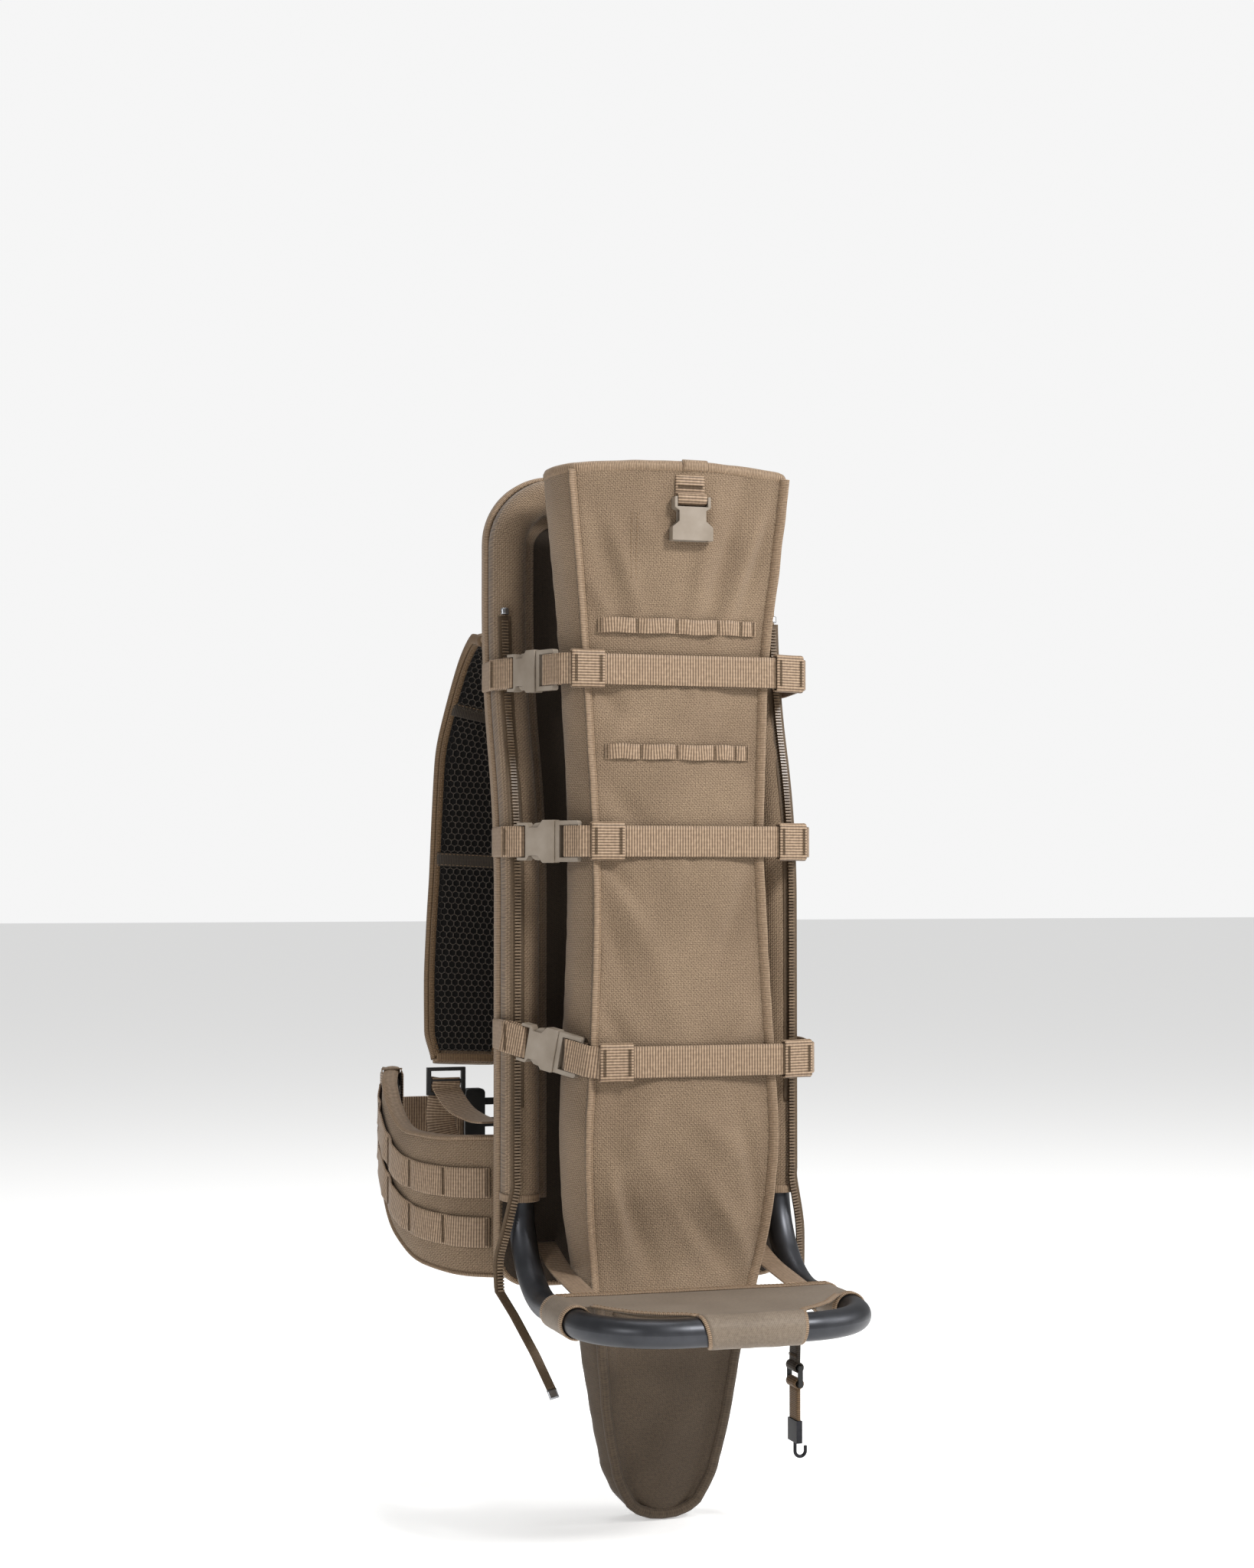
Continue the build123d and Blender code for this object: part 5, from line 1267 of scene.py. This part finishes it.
for side, word in ((-1, "Left"), (1, "Right")):
    body = "belt_" + word.lower()
    verts, uvs, count, rounds = [], [], 80, 40
    for i in range(count + 1):
        s = i / count
        thin = 1 - 0.35 * smooth(0.97, 1.0, s) - 0.2 * smooth(0.05, 0.0, s)
        for k in range(rounds):
            a = 2 * math.pi * k / rounds
            c, q = math.cos(a), math.sin(a)
            level = 0.5 - 0.5 * math.copysign(abs(c) ** belt["squareness"], c) * 0.985
            off = belt["half"] * thin * math.copysign(abs(q) ** belt["squareness"], q)
            p = beltPoint(s, level, off)
            puff = 0.5 * ripple(s * 240, p.z, 121.0, 28.0)
            verts.append(toSide(side, p + Vector((puff * math.copysign(1, q) * 0.7, 0, 0))))
            uvs.append((s * 240.0, p.z))
    faces = [(i * rounds + k, i * rounds + (k + 1) % rounds, (i + 1) * rounds + (k + 1) % rounds, (i + 1) * rounds + k)
             for i in range(count) for k in range(rounds)]
    faces += [tuple(range(rounds)), tuple(count * rounds + k for k in reversed(range(rounds)))]
    build("beltWing" + word, body, [(verts, faces, uvs)], cordura, ["belt_wing_" + word.lower()])
    inner = sheetGrid(lambda s, level: toSide(side, beltPoint(s, level, -7.3)), steps(0.02, 0.98, 60),
                      steps(0.07, 0.93, 20), 0.5)
    build("beltLiner" + word, body, [inner], foam)
    planLength = belt["length"]
    cells = honeycomb(lambda x, q: toSide(side, beltPoint(q / planLength, 0.5 - x / 100.0, -8.6)),
                      lambda q: 41.0 if 8 < q < planLength - 10 else 0.0, planLength, net["beltCell"])
    netPiece("beltMesh" + word, body, [cells])
    rims = []
    outline = [beltPoint(s, 0.985, 0.0) for s in steps(0.0, 1.0, 70)]
    outline += [beltPoint(1.0, t / 12, 0.0) for t in range(11, 0, -1)]
    outline += [beltPoint(s, 0.015, 0.0) for s in steps(1.0, 0.0, 70)]
    outline += [beltPoint(0.0, t / 12, 0.0) for t in range(1, 12)]
    rimLine = resampled([toSide(side, p) for p in outline], 4.0, True)
    rims.append(sweep(rimLine, lambda i, p, t: (Vector((p.x, p.y - 120, 0)).normalized()), oval(7.0, 2.4, 12), True))
    build("beltBinding" + word, body, rims, binding)
    rows = []
    for level in belt["rows"]:
        tacks = [0.22 + k * belt["tackEvery"] / planLength for k in range(6)]
        line = []
        for i in range(81):
            s = lerp(0.21, 0.97, i / 80)
            gap = min(abs(s - t) for t in tacks) * planLength
            line.append(toSide(side, beltPoint(s, level, 8.5 + 1.3 * smooth(1.5, 9.0, gap))))
        rows.append(sweep(line, (0, 0, 1), tape(25.4, 1.5, 7)))
        for t in tacks:
            p = toSide(side, beltPoint(t, level, 9.6))
            ahead = toSide(side, beltPoint(t + 0.01, level, 9.6))
            tack(body, p, (0, 0, 1), ahead - p, 22.0)
    build("beltMolle" + word, body, rows, webbing, ["belt_molle_" + word.lower()])
    sleeveBand = [toSide(side, beltPoint(0.955, t / 16, 8.6)) for t in range(17)]
    inside = [toSide(side, beltPoint(0.955, t / 16, -8.9)) for t in range(16, -1, -1)]
    build("beltEndBand" + word, body, [sweep(sleeveBand + inside, (0, 1, 0), tape(12.0, 1.4, 5), True)],
          webbing)
    endX, endY = beltPlan[-1]
    route = filleted([(endX - 1.0, endY + 2.0, belt["webZ"]), (endX - 12.0, endY + belt["turn"], belt["webZ"]),
                      (belt["buckleX"], endY + belt["turn"], belt["webZ"])], 14.0)
    ribbon = sweep([toSide(side, p) for p in resampled(route, 3.0)], (0, 0, 1), tape(belt["webbing"], 2.0, 10))
    build("beltStrap" + word, body, [ribbon], webbing, ["belt_strap_" + word.lower()])

# lash strap
lash = {"x": 92.0, "y": -97.0, "wide": 20.0, "top": -329.7, "drop": 66.0, "end": 26.0, "loop": 3.6}
loopZ = lash["top"] - lash["drop"]


def lashChunks(line, loopAt):  # a doubled length of webbing and the loop that holds its hardware
    loop = [(lash["x"] + lash["loop"] * math.cos(a), lash["y"], loopAt + lash["loop"] * math.sin(a)) for a in turns(20)]
    return [sweep(line, (0, 1, 0), tape(lash["wide"], 3.1, 5)),
            sweep(loop, (0, 1, 0), tape(lash["wide"], 1.5, 5), True)]


down = [(lash["x"] + 0.8 * ripple(0, z, 131.0, 30.0), lash["y"], z) for z in
        [lerp(lash["top"], loopZ + 3.0, i / 16) for i in range(17)]]
build("lashLoop", "lash", lashChunks(down, loopZ), darkWebbing, ["lash_loop"])
tack("lash", (lash["x"] - 2.2, lash["y"], loopZ + 9.0), (0, 1, 0), (0, 0, 1), 16.0)
endZ = loopZ - 13.0
down = [(lash["x"], lash["y"], lerp(endZ - 3.0, endZ - 3.6 - lash["end"], i / 8)) for i in range(9)]
build("lashEnd", "lash_foot", lashChunks(down, endZ), brownWebbing, ["lash_end"])

for body, lines in stitchLines.items():
    alongCurves("stitches" + body.title().replace("_", ""), body, lines, stitchSize, thread)
for body, lines in tackLines.items():
    alongCurves("bartacks" + body.title().replace("_", ""), body, lines, tackSize, tackThread)

# floor, light and camera
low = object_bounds()[0]
studio = {"reach": 30.0, "drop": 0.001, "floor": "#f4f4f3", "glow": 0.42, "light": 0.30, "seen": 0.92}
corners = [(x * studio["reach"], y * studio["reach"], low.z - studio["drop"])
           for x, y in ((-1, -1), (1, -1), (1, 1), (-1, 1))]
floorMesh = bpy.data.meshes.new("floor")
floorMesh.from_pydata(corners, [], [(0, 1, 2, 3)])
floor = bpy.data.objects.new("floor", floorMesh)
bpy.context.scene.collection.objects.link(floor)
paper, paperTree = startMaterial("matPaperWhite")
paperShader = addNode(paperTree, "ShaderNodeBsdfPrincipled", {
    "Base Color": linear(studio["floor"]), "Roughness": 0.9,
    "Emission Color": linear("#ffffff"), "Emission Strength": studio["glow"]})
addNode(paperTree, "ShaderNodeOutputMaterial", {"Surface": paperShader.outputs["BSDF"]})
floorMesh.materials.append(paper)
world = bpy.data.worlds.new("studio")
bpy.context.scene.world = world
world.use_nodes = True
worldTree = world.node_tree
worldTree.nodes.clear()
seen = addNode(worldTree, "ShaderNodeLightPath").outputs["Is Camera Ray"]
# the backdrop is brighter than the light it gives
glow = calc(worldTree, "MULTIPLY_ADD", seen, studio["seen"] - studio["light"], studio["light"])
sky = addNode(worldTree, "ShaderNodeBackground", {"Color": linear("#ffffff"), "Strength": glow})
addNode(worldTree, "ShaderNodeOutputWorld", {"Surface": sky.outputs["Background"]})


def areaLight(name, place, target, size, power):
    data = bpy.data.lights.new(name, "AREA")
    data.size, data.energy = size, power
    light = bpy.data.objects.new(name, data)
    light.location = place
    light.rotation_euler = (Vector(target) - Vector(place)).to_track_quat("-Z", "Y").to_euler()
    bpy.context.scene.collection.objects.link(light)


areaLight("keySoftbox", (1.2, -2.2, 1.9), (0, 0, -0.05), 0.6, 88)
areaLight("leftSoftbox", (-2.6, -1.7, 0.9), (0, 0, -0.05), 0.6, 22)
areaLight("rightSoftbox", (2.3, -0.9, 0.9), (0, 0, -0.05), 0.9, 22)
areaLight("topSoftbox", (0.1, 0.5, 2.3), (0, 0, 0), 1.2, 30)

shot = {"turn": math.radians(18.0), "tilt": math.radians(2.1), "away": 2.2, "focal": 3400.0 / 2048.0 * 36.0,
        "aim": 30.5 / 3400.0}
yaw = shot["turn"] - math.atan(shot["aim"])
camera = bpy.data.objects.new("camera", bpy.data.cameras.new("camera"))
camera.data.lens, camera.data.sensor_width, camera.data.sensor_fit = shot["focal"], 36.0, "AUTO"
camera.data.clip_end = 100.0
camera.location = (-shot["away"] * math.sin(shot["turn"]), -shot["away"] * math.cos(shot["turn"]), 0.0)
look = Vector((math.sin(yaw) * math.cos(shot["tilt"]), math.cos(yaw) * math.cos(shot["tilt"]), math.sin(shot["tilt"])))
camera.rotation_euler = look.to_track_quat("-Z", "Y").to_euler()
bpy.context.scene.collection.objects.link(camera)
bpy.context.scene.camera = camera
bpy.context.scene.view_settings.view_transform = "Standard"
